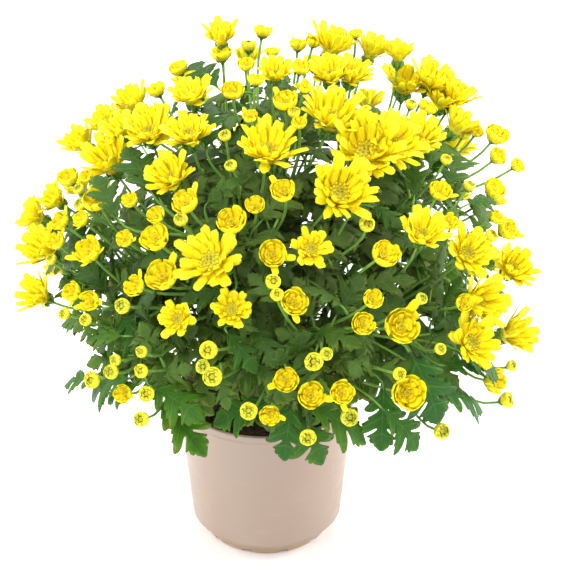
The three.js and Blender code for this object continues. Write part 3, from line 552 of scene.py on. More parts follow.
def tube(skin, path, radii, sides, **marks):
    """A round stem along the points. A mark may be a function of the share of its length."""
    path = np.asarray(path, float)
    steps = np.gradient(path, axis=0)
    side = square_to(unit(steps[0]), vec(0.3, 1, 0.2))
    rings = []
    for point, step, radius in zip(path, steps, radii):
        along = unit(step)
        side = square_to(along, side)
        rings.append(point + radius * spokes(side, np.cross(along, side), sides))
    points = np.vstack([*rings, path[:1], path[-1:]])
    share = np.append(np.repeat(np.linspace(0, 1, len(path)), sides), [0, 1])
    marks = {name: value(share) if callable(value) else value for name, value in marks.items()}
    skin.add(points, tube_faces(len(path), sides), **marks)


# ---------------------------------------------------------------- flower heads

PETAL_ROWS = np.array([0, 0.2, 0.45, 0.7, 0.9, 1.0])  # where a petal has points, as shares of its length
PETAL_COLUMNS = np.array([-1, -0.4, 0.4, 1])
PETAL_ALONG, PETAL_ACROSS = np.meshgrid(PETAL_ROWS, PETAL_COLUMNS, indexing="ij")
PETAL_PULL = np.array([0.0, 1.0, 1.0, 0.0])[:, None]  # the points of its last row that shape its tip
PETAL_THICKNESS = 0.35
# The widths at the rows as shares of the half width, how freely a petal twists, and the least and greatest
# lift of its edges as a share of the half width.
PETAL_FORMS = {
    "strap": {"widths": np.array([0.34, 0.62, 0.94, 1.0, 0.86, 0.45]), "twist": 1, "lift": (-0.1, 0.3)},
    "scoop": {"widths": np.array([0.5, 0.85, 1.0, 1.0, 0.84, 0.46]), "twist": 0.3, "lift": (0.16, 0.16)},
}
MOST_TWIST = 0.35
TIP_PULL = (-0.06, 0.08)  # from notched to drawn out, as shares of the head's radius
PETAL_GREEN = {"open": 0.0, "half": 0.08, "bud": 1.3}  # how green each kind of head's petals are
NARROWEST = 0.13  # half width of an open head's straps
BROAD = 1.35  # how much broader a small open head's straps are

# The whorls inside an open head's straps: petals more than outside, least and greatest reach, lowest and
# highest rise, half width and how deep in the head they count.
OPEN_WHORLS = (
    (2, 0.6, 0.8, 0.16, 0.34, 0.17, 0.2),
    (3, 0.42, 0.56, 0.2, 0.34, 0.13, 0.5),
)
# A half-open head's whorls: petals, lowest height, widest reach, reach of the shoulder, least and greatest
# reach of the tips, their height, half width and how deep in the head they count.
CUP_WHORLS = (
    (9, -0.52, 0.97, 1.02, 0.84, 1.1, 0.5, 0.42, 0.0),
    (8, -0.32, 0.7, 0.84, 0.68, 0.88, 0.36, 0.36, 0.2),
    (7, -0.3, 0.46, 0.58, 0.46, 0.64, 0.18, 0.27, 0.5),
    (5, -0.3, 0.24, 0.34, 0.26, 0.38, 0.06, 0.2, 0.8),
)
# A bud's whorls: petals, lowest height, widest reach, reach and height of the tips, half width and how deep
# in the head they count.
BUD_WHORLS = (
    (9, -0.7, 1.0, 0.8, 0.62, 0.5, 0.0),
    (8, -0.4, 0.92, 0.6, 0.6, 0.44, 0.08),
    (6, -0.2, 0.72, 0.38, 0.5, 0.38, 0.3),
)
# The eye of each kind of head: its reach, height and florets' size as shares of the radius, the number of
# florets, and how green and how deep in the head it counts.
EYES = {
    "open": {"reach": 0.34, "up": 0.12, "size": 0.035, "florets": 34, "green": 0.9, "core": 1.0},
    "half": {"reach": 0.2, "up": -0.04, "size": 0.045, "florets": 14, "green": 0.9, "core": 1.0},
    "bud": {"reach": 0.3, "up": 0.38, "size": 0.06, "florets": 14, "green": 1.0, "core": 0.85},
}
# The rings of the cushion under the florets: share of the eye's reach, and height over the eye's own.
CUSHION = ((0.8, -0.4), (1.1, -0.06), (0.7, 0.02))
CUSHION_SIDES, CUSHION_TOP = 10, 0.04
# The florets: how far down and up they reach from the eye's height, less towards its edge, how far their tops
# lean out, how wide their feet are beside their tops, and how pointed those are.
FLORET = {
    "sides": 4, "down": 0.08, "up": 0.1, "round": 0.06, "any": 0.05, "out": 1.05, "foot": 0.7, "tip": 0.5,
}


def petal_grid(head, turn, curve, half_width, form, key, k):
    """The points of the k-th petal of a whorl in rows and columns, and the way its face looks at each row."""
    angle = FULL_TURN * turn
    flat = math.cos(angle) * head.side + math.sin(angle) * head.across
    tangent = np.cross(flat, head.axis)
    spine = bezier(np.array(curve) * head.radius, PETAL_ROWS)
    steps = np.gradient(spine, axis=0)
    steps /= np.linalg.norm(steps, axis=1)[:, None]
    spine = head.centre + spine[:, :1] * flat + spine[:, 1:] * head.axis
    normal = -steps[:, 1:] * flat + steps[:, :1] * head.axis
    turned = between(key, 300 + k, -MOST_TWIST, MOST_TWIST) * form["twist"] * PETAL_ROWS[:, None]
    across = np.cos(turned) * tangent + np.sin(turned) * normal
    face = np.cos(turned) * normal - np.sin(turned) * tangent
    half = (form["widths"] * half_width * head.radius)[:, None, None]
    lift = between(key, 340 + k, *form["lift"])
    x = PETAL_COLUMNS[None, :, None]
    grid = spine[:, None] + half * x * across[:, None] + half * lift * x * x * face[:, None]
    pull = PETAL_PULL * between(key, 380 + k, *TIP_PULL) * head.radius
    grid[-1] += pull * (steps[-1, 0] * flat + steps[-1, 1] * head.axis)
    return grid, face


def whorl(skin, head, turns, curves, half_widths, form, core, key):
    """A whorl of petals. A curve is four [out, up] points, shares of the radius like the half widths."""
    green = PETAL_GREEN[head.kind] * (0.4 + 0.6 * vary(head.key, 46)) * min(1, 0.5 + 5 * core)
    for k, (turn, curve, half_width) in enumerate(zip(turns, curves, half_widths)):
        grid, face = petal_grid(head, turn, curve, half_width, PETAL_FORMS[form], key, k)
        drop, tint = PETAL_THICKNESS * face[:, None], vary(key, 420 + k)
        blade(skin, grid, drop, along=PETAL_ALONG, across=PETAL_ACROSS, tint=tint, core=core, green=green)


def uneven_turns(key, kind, ring, count, loose):
    """The turns of a whorl's petals: half a petal on from the last whorl's, and each a little off."""
    return (np.arange(count) + 0.5 * ring + loose * drawn(key, kind, count)) / count


def strap(reach, rise, dip):
    """The curve of an open head's outer petal, flat at first. Dip lowers its tip."""
    low, high = [0.5 * reach, -0.1 + 0.25 * rise], [0.85 * reach, 0.8 * rise + 0.1]
    return [[0.1, -0.14], low, high, [reach, rise - dip]]


def open_petals(skin, head):
    """An open bloom: three uneven whorls of straps outside, and shorter and steeper ones inside."""
    count, key, flare = len(head.reaches), head.key, head.flare
    places = np.arange(count)

    def straps(turns, reaches, rises, dip, width_draws, widest, core, apart):
        curves = [strap(reach, rise, dip) for reach, rise in zip(reaches, rises)]
        widths = (BROAD if head.small else 1.0) * drawn(key, width_draws, count, NARROWEST, widest)
        whorl(skin, head, turns, curves, widths, "strap", core, key + apart)

    turns = (places + 0.25 + 0.6 * drawn(key, 240, count)) / count
    rises = 0.5 * flare + drawn(key, 220, count, -0.14, 0.04)
    straps(turns, drawn(key, 210, count, 0.7, 0.96), rises, 0.0, 230, 0.17, 0.0, 0.73)
    straps((places + 0.5) / count, head.reaches, [head.rise(k) for k in places], 0.02, 60, 0.18, 0.0, 0)
    turns = (places + 0.5 * (drawn(key, 90, count) - 0.5)) / count
    rises = flare + drawn(key, 80, count, 0.02, 0.22)
    straps(turns, drawn(key, 70, count, 0.7, 1.0), rises, 0.04, 100, 0.18, 0.1, 0.37)
    for ring, (more, least, greatest, low, high, half_width, core) in enumerate(OPEN_WHORLS):
        petals, draws = count + more, 40 * ring
        reaches = drawn(key, 120 + draws, petals, least, greatest)
        rises = drawn(key, 140 + draws, petals, low, high) + 0.65 * flare
        curves = [
            [[0.07, -0.06], [0.6 * reach, 0.02], [reach, 0.5 * rise], [0.97 * reach, rise]]
            for reach, rise in zip(reaches, rises)
        ]
        turns = uneven_turns(key, 160 + draws, ring, petals, 0.5)
        whorl(skin, head, turns, curves, [half_width] * petals, "strap", core, key + 0.51 + 0.2 * ring)


def half_petals(skin, head):
    """A half-open head: a ragged cup of upright petals, and outside it the petals that have let go."""
    key = head.key
    let_go = [k for k, reach in enumerate(head.reaches) if reach == CUP_REACH["let_go"]]
    free_turns = [(k + 0.5) / len(head.reaches) for k in let_go]
    free, half_width = [[0.3, -0.36], [0.95, -0.2], [1.3, 0.3], [CUP_REACH["let_go"], 0.5]], 0.27
    count = len(let_go)
    whorl(skin, head, free_turns, [free] * count, [half_width] * count, "scoop", 0.1, key)
    for ring, (petals, low, belly, shoulder, least, greatest, top, half_width, core) in enumerate(CUP_WHORLS):
        draws = 30 * ring
        lips = drawn(key, 60 + draws, petals, least, greatest)
        rises = top + drawn(key, 80 + draws, petals, -0.14, 0.12) / (1 + 0.4 * ring)
        curves = [
            [[0.2 * belly, low], [belly, low + 0.04], [shoulder, 0.5 * top], [lip, rise]]
            for lip, rise in zip(lips, rises)
        ]
        turns = uneven_turns(key, 100 + draws, ring, petals, 0.7)
        whorl(skin, head, turns, curves, [half_width] * petals, "scoop", core, key + 0.21 * (ring + 1))


def bud_petals(skin, head):
    """A bud: tight petals that nearly close over its middle."""
    key = head.key
    for ring, (petals, low, wide, shut, top, half_width, core) in enumerate(BUD_WHORLS):
        draws = 20 * ring
        reaches = shut * drawn(key, 70 + draws, petals, 0.84, 1.12)
        rises = top + drawn(key, 74 + draws, petals, -0.1, 0.1)
        curves = [
            [[0.3 * wide, low], [1.1 * wide, low + 0.3], [1.16 * wide, 0.84 * top], [reach, rise]]
            for reach, rise in zip(reaches, rises)
        ]
        turns = uneven_turns(key, 60 + draws, ring, petals, 0.2)
        whorl(skin, head, turns, curves, [half_width] * petals, "scoop", core, key + 0.1 * ring)


def eye(skin, head):
    """A cushion in the middle of a head, with tight tubular florets in a spiral over it."""
    own = EYES[head.kind]
    reach, up, core, green = own["reach"], own["up"], own["core"], own["green"]
    turns = np.arange(CUSHION_SIDES) / CUSHION_SIDES
    same = np.ones(CUSHION_SIDES)
    rings = [head.point(turns, out * reach * same, (up + over) * same) for out, over in CUSHION]
    ends = [head.point(0, 0, up + CUSHION[0][1]), head.point(0, 0, up + CUSHION_TOP)]
    faces = tube_faces(len(CUSHION), CUSHION_SIDES)
    skin.add(np.vstack([*rings, ends]), faces, along=0.5, across=0.0, tint=0.5, core=core, green=green)
    wide = own["size"] * head.radius
    ring = spokes(head.side, head.across, FLORET["sides"], 0.5)
    for k in range(own["florets"]):
        share = math.sqrt((k + 0.5) / own["florets"])
        turn = k * GOLDEN_ANGLE / FULL_TURN
        rise = up + FLORET["up"] - FLORET["round"] * share**2 + between(head.key, 500 + k, 0, FLORET["any"])
        foot = head.point(turn, reach * share, up - FLORET["down"])
        high = head.point(turn, FLORET["out"] * reach * share, rise)
        tip = high + FLORET["tip"] * wide * head.axis
        points = np.vstack([foot + FLORET["foot"] * wide * ring, high + wide * ring, foot, tip])
        marks = {"along": share, "core": core, "green": green * (1 - 0.8 * share)}
        skin.add(points, tube_faces(2, FLORET["sides"]), tint=vary(head.key, 540 + k), **marks)


def flower(skin, head):
    """All the petals of a head and its eye."""
    {"open": open_petals, "half": half_petals, "bud": bud_petals}[head.kind](skin, head)
    eye(skin, head)


def dress_heads(name, node, heads, material):
    """The petals of the heads that the node holds, as one piece, or none where it holds no head."""
    skin = Skin("along", "across", "tint", "core", "green")
    for head in heads:
        if head.node == node:
            flower(skin, head)
    if skin.count:
        skin.piece(name, material, node)


# ---------------------------------------------------------------- green cups and stems

# The bracts of a green cup in two rows: how many, where they start from its neck at 0 to its rim at 1, how
# far their tips rise over the rim, and how far they bulge.
BRACTS = {
    "open": ((8, 0.3, 0.02, 1.08), (8, 0.08, 0.12, 1.12)),
    "half": ((8, 0.3, 0.02, 1.08), (8, 0.08, 0.12, 1.12)),
    "bud": ((7, 0.3, 0.1, 1.1), (7, 0.1, 0.3, 1.14)),
}
BELLY = {"open": 1.0, "half": 1.25, "bud": 1.5}  # how far out the bracts' tips stand, as a share of the rim
BRACT_SIDES = np.array([-0.16, 0, 0.16])
BRACT = {"widths": (0.7, 1.0, 0.7, 0.12), "crowd": 2.4, "keel": 0.02, "thick": 0.3}
CUP_SIDES = 10
STALK_POINTS, LEADER_POINTS = 8, 29  # on each half of a smooth stalk, and on a smooth leader


def green_cup(skin, stalk):
    """The cup under a head: a rounded body on the stalk's end, and rows of pointed bracts lying over it."""
    head = stalk.head
    cup = CUP[head.kind]
    neck, rim, out = -cup["neck"], -cup["up"], cup["out"]
    heights = np.array([neck, mixed(neck, rim, 0.35), mixed(neck, rim, 0.65), rim, rim + 0.04])
    stem = STALK["radius"] / head.radius
    radii = np.array([0.85 * stem, max(stem, 0.45 * out), 0.86 * out, out, 0.7 * out])
    path = head.centre + head.radius * heights[:, None] * head.axis
    tube(skin, path, radii * head.radius, CUP_SIDES, age=0.1, tint=vary(head.key, 7), leafy=1.0)
    for row, (count, start, rise, swell) in enumerate(BRACTS[head.kind]):
        tips = BELLY[head.kind] * out
        spine = [
            (0.6 * out, mixed(neck, rim, start + 0.2)),
            (swell * out, mixed(neck, rim, start + 0.6)),
            (mixed(out, tips, 0.6) * swell, rim + 0.4 * rise),
            (tips * swell, rim + rise),
        ]
        for k in range(count):
            turn = (k + 0.5 * row + 0.25 * vary(head.key, 600 + 20 * row + k)) / count
            bract(skin, head, turn, spine, BRACT["crowd"] / count, vary(head.key, 640 + k))


def bract(skin, head, turn, spine, width, tint):
    """A pointed scale of the cup, with a keel along its middle."""
    rows = []
    for (out, up), share in zip(spine, BRACT["widths"]):
        turns = turn + width * share * BRACT_SIDES
        rows.append(head.point(turns, np.array([out, out + BRACT["keel"], out]), np.full(3, up)))
    grid = np.array(rows)
    blade(skin, grid, BRACT["thick"] * towards(head.centre, grid[1, 1]), age=0.05, tint=tint, leafy=1.0)


def smooth_stalk(stalk):
    """A stalk's path as a smooth curve through its three points, straight into its head at the end."""
    root, middle, neck = stalk.path
    first, second = np.linalg.norm(middle - root), np.linalg.norm(neck - middle)
    onward = towards(root, neck)
    third = 1 / 3  # of each part, for the curve's inner points
    lower = [root, root + third * first * towards(root, middle), middle - third * first * onward, middle]
    upper = [middle, middle + third * second * onward, neck - third * second * stalk.head.axis, neck]
    shares = np.linspace(0, 1, STALK_POINTS)
    return np.vstack([bezier(lower, shares)[:-1], bezier(upper, shares)])


def smooth_leader(leader):
    """A leader's path with points enough to look round."""
    path = leader.path
    tangents = np.gradient(path, axis=0)
    points = []
    for at in np.linspace(0, len(path) - 1, LEADER_POINTS):
        k = min(int(at), len(path) - 2)
        a, b = path[k], path[k + 1]
        points.append(bezier([a, a + tangents[k] / 3, b - tangents[k + 1] / 3, b], at - k))
    return np.array(points)


# ---------------------------------------------------------------- leaves

# Half of a leaf's outline: [share of the length, of the half width, where its vein leaves the middle one].
LEAF_OUTLINE = np.array([
    [0.00, 0.05, 0.00], [0.06, 0.07, 0.02], [0.11, 0.12, 0.04], [0.16, 0.27, 0.06], [0.205, 0.43, 0.08],
    [0.23, 0.40, 0.10], [0.29, 0.58, 0.12], [0.37, 0.72, 0.14], [0.395, 0.56, 0.17], [0.37, 0.36, 0.20],
    [0.315, 0.19, 0.25], [0.33, 0.16, 0.29], [0.375, 0.26, 0.32], [0.46, 0.58, 0.345], [0.49, 0.54, 0.365],
    [0.56, 0.79, 0.39], [0.59, 0.75, 0.41], [0.69, 0.98, 0.435], [0.725, 0.80, 0.47], [0.70, 0.56, 0.50],
    [0.645, 0.34, 0.54], [0.605, 0.20, 0.58], [0.63, 0.18, 0.62], [0.68, 0.28, 0.66], [0.775, 0.54, 0.69],
    [0.795, 0.42, 0.73], [0.87, 0.42, 0.77], [0.885, 0.29, 0.82], [0.94, 0.21, 0.88], [1.00, 0.03, 0.985],
])
LOBE_VEINS = (0.14, 0.435, 0.69)  # where the veins of the side lobes leave the middle one
LOBE_PLACES = (0.0, 0.25, 0.6, 1.0)  # where along the middle vein a leaf's lobes are drawn wider or narrower
TOOTH = 0.012  # how far a tooth stands out, and lies back between two, as a share of the half width
BARE_EDGE = 0.15  # the half width under which the edge has no teeth
VARIANTS = 4  # of lobes, wider or narrower
# A blade's form, as shares of its length, and how thick its edge is beside its middle.
BLADE = {"twist": 0.35, "droop": 0.12, "ripple": 0.05, "groove": 0.012, "edge": 0.35}
# Where a leaf's green starts to freshen on the way out of the dome, partly as the leaves are younger there
# and partly as painted shade deeper in, over how much of the radius it does, how much painted shade darkens
# it again at the top, and from how far below the dome's centre.
FRESH_AND_SHADE = {"from": 0.45, "over": 0.45, "shade": 0.45, "below": 0.3}
PETIOLE = {"points": 7, "sides": 5, "foot": 1.15, "end": 0.7, "under": 0.06}


def rounded(points):
    """The points with one more between each two, a little off the straight line, to blunt the corners."""
    before, after = np.vstack([points[:1], points[:-2]]), np.vstack([points[2:], points[-1:]])
    halfway = (17 * (points[:-1] + points[1:]) - before - after) / 32
    return np.insert(points, range(1, len(points)), halfway, axis=0)


def leaf_shape(variant, fine):
    """A flat leaf in grids: share of the length, of the half width, place of the vein, and how far out."""
    outline = rounded(LEAF_OUTLINE) if fine else LEAF_OUTLINE
    far, wide, line = (outline[:, k : k + 1] for k in range(3))
    edge = np.linspace(-1, 1, 7 if fine else 5)
    teeth = TOOTH * (np.arange(len(outline)) % 2 * 2 - 1)[:, None] * (wide > BARE_EDGE) if fine else 0.0
    lobing = [0.85 + 0.3 * drawn(variant * 31 + side, 3, len(LOBE_PLACES)) for side in (0, 1)]
    stretch = np.hstack([np.interp(line, LOBE_PLACES, lobing[int(x > 0)]) for x in edge])
    share = mixed(line, far + 0.3 * teeth, np.abs(edge))
    return share, edge * (wide * stretch + teeth), *np.broadcast_arrays(line, edge)


def leaf_blade(skin, plan, shape, rib, young):
    """A thin arched blade from the plan's base to its tip, thickest along its middle vein."""
    share, wide, line, edge = shape
    key, out = plan.key, np.abs(edge)
    length = np.linalg.norm(plan.tip - plan.base)
    up = square_to(towards(plan.base, plan.tip), plan.face)
    side = np.cross(towards(plan.base, plan.tip), up)
    twist = between(key, 31, -BLADE["twist"], BLADE["twist"])
    droop = BLADE["droop"] * between(key, 34, -0.2, 1)
    fold = LEAF["fold"] * between(key, 32, 0.3, 1.5)
    ripple = BLADE["ripple"] * np.sin(9 * line + 2.5 * edge + 6 * vary(key, 33)) * np.abs(wide) ** 1.2
    rise = LEAF["arch"] * 4 * share * (1 - share) - fold * np.abs(wide) ** 1.4 + ripple
    rise = rise - droop * share**3 + twist * wide * share * LEAF["half_width"]
    groove = -BLADE["groove"] * np.exp(-((out * 9) ** 2))
    offset = wide * LEAF["half_width"] * length
    top = plan.base + share[..., None] * (plan.tip - plan.base)
    top = top + offset[..., None] * side + ((rise + groove) * length)[..., None] * up
    thick = rib * (BLADE["edge"] + (1 - BLADE["edge"]) * np.exp(-((out * 4) ** 2)))
    under = np.append(np.zeros(share.size), np.ones(share[INSIDE].size))
    marks = {"line": line, "edge": edge, "under": under, "tint": vary(key, 35), "young": young}
    blade(skin, top, thick[..., None] * up, **marks)


def freshness_and_shade(plan):
    """How bright a leaf's green is: darker the deeper it stands in the plant, partly with age and partly as
    painted shade, and darker near the top too, as painted shade.
    """
    out = (plan.tip - DOME_CENTRE) / DOME_RADIUS
    shade = FRESH_AND_SHADE["shade"] * np.clip(out[2] + FRESH_AND_SHADE["below"], 0, 1)
    return float(np.clip((np.linalg.norm(out) - FRESH_AND_SHADE["from"]) / FRESH_AND_SHADE["over"], 0, 1) - shade)


def petiole(skin, plan):
    """The leaf's stalk, from inside its stem to a little way under the blade."""
    start, base, blade_way = plan.root, plan.base, plan.tip - plan.base
    span, along = np.linalg.norm(base - start), unit(blade_way)
    end = base + PETIOLE["under"] * np.linalg.norm(blade_way) * along
    curve = [start, start + 0.4 * span * towards(start, base), base - 0.3 * span * along, end]
    path = bezier(curve, np.linspace(0, 1, PETIOLE["points"]))
    radii = np.linspace(PETIOLE["foot"], PETIOLE["end"], PETIOLE["points"])
    tube(skin, path, radii, PETIOLE["sides"], age=0.25, tint=vary(plan.key, 36), leafy=0.6)


# ---------------------------------------------------------------- more leaves along the stems

# Leaves tried on each leader and stalk, and the part of it where they root.
ON_LEADER, ON_STALK = {"count": 12, "first": 0.14}, {"count": 3, "first": 0.14, "part": 0.72}
# A filling leaf is long in the middle of the dome and short at its surface. Its petiole is bare, a share of
# the blade, and leans forward along the stem. Its tip may reach a share of the dome's radius, less where it
# is near the top, and the blade is cut back to that, if enough of it stays.
FILL = {
    "long": 50, "short": 32, "bare": 0.24, "forward": 0.6, "reach_low": 0.95, "reach_top": 0.9, "top": 0.6,
    "over": 0.02, "stays": 0.4, "face_up": 0.7, "face_any": 0.4,
}
# It stays over the rim near the pot and hangs no lower than this anywhere. In front it keeps over a slope
# that starts this high over the rim. It keeps this far off the flower heads too.
CLEAR = {"over_rim": 4, "near": 7, "hang": 14, "front": 12, "slope": 0.5, "heads": 2}


def keeps_clear(points, heads):
    """Whether a leaf's points stay off the pot, out of the heads, and out of the sight of the pot's front."""
    for point in points:
        out, over = np.linalg.norm(point[:2]) - POT["rim_radius"], point[2] - POT["height"]
        on_rim = over < CLEAR["over_rim"] and out < CLEAR["near"]
        in_front = point[1] < 0 and over - CLEAR["slope"] * out < CLEAR["front"]
        if over < -CLEAR["hang"] or on_rim or in_front:
            return False
        if any(np.linalg.norm(point - head.centre) < head.radius + CLEAR["heads"] for head in heads):
            return False
    return True


def fill_leaf(path, share, leader, key, heads):
    """A leaf that grows aside from a stem at a share of its length, or None where it has no room."""
    root = along_path(path, share)
    onward = towards(along_path(path, share - 0.1), along_path(path, share + 0.1))
    side = square_to(onward, UP)
    across = np.cross(onward, side)
    turn = GOLDEN_ANGLE * key
    aside = math.cos(turn) * side + math.sin(turn) * across
    depth = min(1, np.linalg.norm((root - DOME_CENTRE) / DOME_RADIUS))
    length = mixed(FILL["long"], FILL["short"], depth) * between(key, 41, 0.8, 1.25)
    heading = unit(FILL["forward"] * onward + aside)
    base = root + FILL["bare"] * length * heading
    tip = base + length * unit(heading - between(key, 42, 0, 0.5) * UP)
    most = FILL["reach_top"] if unit(tip - DOME_CENTRE)[2] > FILL["top"] else FILL["reach_low"]
    reach = np.linalg.norm(tip - DOME_CENTRE) / DOME_RADIUS
    if reach > most:
        tip = mixed(base, tip, max(FILL["stays"], 1 - (reach - most) * DOME_RADIUS / length))
    spots = [mixed(base, tip, at) for at in (0.2, 0.6, 1)]
    reach = np.linalg.norm(tip - DOME_CENTRE) / DOME_RADIUS
    if reach > most + FILL["over"] or not keeps_clear(spots, heads):
        return None
    face = onward + FILL["face_up"] * UP + FILL["face_any"] * vec(vary(key, 43) - 0.5, vary(key, 44) - 0.5, 0)
    return LeafPlan(root, leader, base, tip, face, key)


def fill_leaves(leaders, stalks, heads):
    found = []
    for leader in leaders:
        for k in range(ON_LEADER["count"]):
            share = mixed(ON_LEADER["first"], 1, (k + 0.5) / ON_LEADER["count"])
            found.append(fill_leaf(leader.path, share, leader, 1000 + 40 * leader.number + k, heads))
    for number, stalk in enumerate(stalks):
        for k in range(ON_STALK["count"]):
            share = ON_STALK["first"] + ON_STALK["part"] * (k + vary(number, 45)) / ON_STALK["count"]
            found.append(fill_leaf(stalk.path, share, stalk.head.leader, 2000 + 10 * number + k, heads))
    return [plan for plan in found if plan]


# ---------------------------------------------------------------- a leafy stem with all that it bears

LEADER_SIDES, STALK_SIDES = 10, 6
STALK_RADII = (1.25, 0.95)
NAMED_RIB, FILL_RIB = 0.8, 0.6  # the thickness of a blade at its middle vein
FILL_FRESH_AND_SHADE = 0.6  # how fresh the green of the filling leaves is, beside the others': less, partly with age and partly as painted shade deeper in


def dress_leader(leader, plant, stem_green, leaf_green):
    """Two pieces: the leader with its stalks, green cups and petioles, and all its leaf blades."""
    stems = Skin("age", "tint", "leafy")
    path = smooth_leader(leader)
    radii = np.linspace(LEADER["foot"], LEADER["head"], len(path))
    tube(stems, path, radii, LEADER_SIDES, age=lambda share: 1 - 0.8 * share, tint=0.5, leafy=0.5)
    for stalk in plant["stalks"]:
        if stalk.head.leader is leader:
            path = smooth_stalk(stalk)
            radii = np.linspace(*STALK_RADII, len(path))
            tube(stems, path, radii, STALK_SIDES, age=0.1, tint=vary(stalk.head.key, 8), leafy=0.2)
            green_cup(stems, stalk)
    blades = Skin("line", "edge", "under", "tint", "young")
    # The filling leaves stand deeper in, so their green is less fresh, partly with age and partly as painted
    # shade.
    for fine, rib, fresh in ((True, NAMED_RIB, 1), (False, FILL_RIB, FILL_FRESH_AND_SHADE)):
        shapes = [leaf_shape(variant, fine) for variant in range(VARIANTS)]
        for plan in plant["named_leaves" if fine else "fill_leaves"]:
            if plan.leader is leader:
                leaf_blade(blades, plan, shapes[plan.key % VARIANTS], rib, fresh * freshness_and_shade(plan))
                petiole(stems, plan)
    stems.piece(f"stems_{leader.number}", stem_green, leader.node)
    blades.piece(f"leaves_{leader.number}", leaf_green, leader.node)


# ---------------------------------------------------------------- pot and soil

CRUMBS = {"count": 420, "sides": 5, "least": 0.7, "most": 2.4, "off_edge": 3}
CRUMB_RINGS = ((-0.5, 0.55), (0.45, 0.6))  # where they stand along a crumb and their radius, in its sizes
LUMPS = ((0.9, 0.35), (0.7, 1.1))  # of the soil's top: their height, and how close they are
LUMPS_SINK = 0.4


def lathe(skin, outline, sides):
    """A closed turned body. The outline runs from the axis round the outside back to the axis."""
    outline = np.asarray(outline, float)
    turns = FULL_TURN * np.arange(sides) / sides
    rings = [
        np.stack([radius * np.cos(turns), radius * np.sin(turns), np.full(sides, height)], 1)
        for radius, height in outline[1:-1]
    ]
    ends = [[0, 0, outline[0, 1]], [0, 0, outline[-1, 1]]]
    skin.add(np.vstack([*rings, ends]), tube_faces(len(rings), sides))


def pot_inside(height):
    """The pot's inner radius at a height."""
    heights = (POT["floor"], POT["heel_height"], POT["height"])
    outer = (POT["foot_radius"], POT["wall_foot_radius"] - POT["ledge"], POT["rim_radius"] - POT["band_step"])
    return float(np.interp(height, heights, [radius - POT["wall"] for radius in outer]))


def pot_outline():
    """The pot's outline as [radius, height], from the middle of its underside outside and in to its floor."""
    foot, edge, heel, foot_band = POT["foot_radius"], POT["edge"], POT["heel_height"], POT["foot_band"]
    wall_foot, rim, top = POT["wall_foot_radius"], POT["rim_radius"], POT["height"]
    ledge, step, floor = wall_foot - POT["ledge"], rim - POT["band_step"], POT["floor"]
    band_foot, inside = top - POT["rim_band"], pot_inside(top)
    underside = [
        (0, 0), (0.5 * foot, 0), (foot - edge, 0), (foot - 0.4 * edge, 0.15), (foot - 0.1 * edge, 0.5),
        (foot, edge), (foot + 0.5 * edge, 0.5 * foot_band), (foot + edge, foot_band),
        (foot + edge + 0.9, foot_band + 0.5),
    ]
    heel_ledge = [
        (ledge - 0.4, heel - edge - 0.4), (ledge, heel - edge + 0.1), (wall_foot - 0.5, heel - 0.6),
        (wall_foot - 0.05, heel - 0.2), (wall_foot, heel + 0.3),
    ]
    shares = (0.1, 0.25, 0.4, 0.55, 0.7, 0.85, 0.97)
    wall = [(mixed(wall_foot, step - 0.4, share), mixed(heel, band_foot, share)) for share in shares]
    rim_band = [
        (step - 0.35, band_foot - 0.1), (rim - 0.6, band_foot + 0.3), (rim - 0.35, band_foot + edge),
        (rim - 0.1, top - 2), (rim, top - 0.8), (rim - 0.15, top - 0.25), (rim - 0.6, top),
        (inside + 0.6, top), (inside + 0.15, top - 0.2), (inside, top - 0.7), (inside - 0.2, top - 4),
    ]
    return underside + heel_ledge + wall + rim_band + [
        (pot_inside(heel), heel), (pot_inside(floor), floor), (0.5 * foot, floor), (0, floor),
    ]


def drain_cutters():
    """Boxes across the pot's foot, one for each drain notch."""
    cutters = Skin()
    faces = [(0, 3, 2, 1), (4, 5, 6, 7), (0, 1, 5, 4), (1, 2, 6, 5), (2, 3, 7, 6), (3, 0, 4, 7)]
    for k in range(DRAIN["count"]):
        turn = math.radians(DRAIN["first_degrees"] - 90 + 360 * k / DRAIN["count"])
        out, side = vec(math.cos(turn), math.sin(turn), 0), vec(-math.sin(turn), math.cos(turn), 0)
        corners = []
        for height in (-DRAIN["height"], DRAIN["height"]):
            for a, b in ((-1, -1), (1, -1), (1, 1), (-1, 1)):
                reach = POT["foot_radius"] + a * DRAIN["depth"] / 2
                corners.append(out * reach + side * b * DRAIN["width"] / 2 + UP * height)
        cutters.add(corners, faces)
    return cutters.object("drain_cutter")


def make_pot(material):
    """The pot, with the drain notches cut out of its foot."""
    skin = Skin()
    lathe(skin, pot_outline(), POT["sides"])
    pot, cutter = skin.piece("nursery_pot", material, "pot"), drain_cutters()
    cut = pot.modifiers.new("drain_notches", "BOOLEAN")
    cut.operation, cut.solver, cut.object = "DIFFERENCE", "EXACT", cutter
    whole = pot.evaluated_get(bpy.context.evaluated_depsgraph_get())
    made = bpy.data.meshes.new_from_object(whole)
    pot.modifiers.clear()
    pot.data = made
    bpy.data.objects.remove(cutter)


def soil_height(radius, edge):
    """The height of the soil's top, which falls from a shoulder to its edge."""
    return SOIL["top"] - SOIL["crown"] * max(0, (radius - edge + SOIL["shoulder"]) / SOIL["shoulder"])


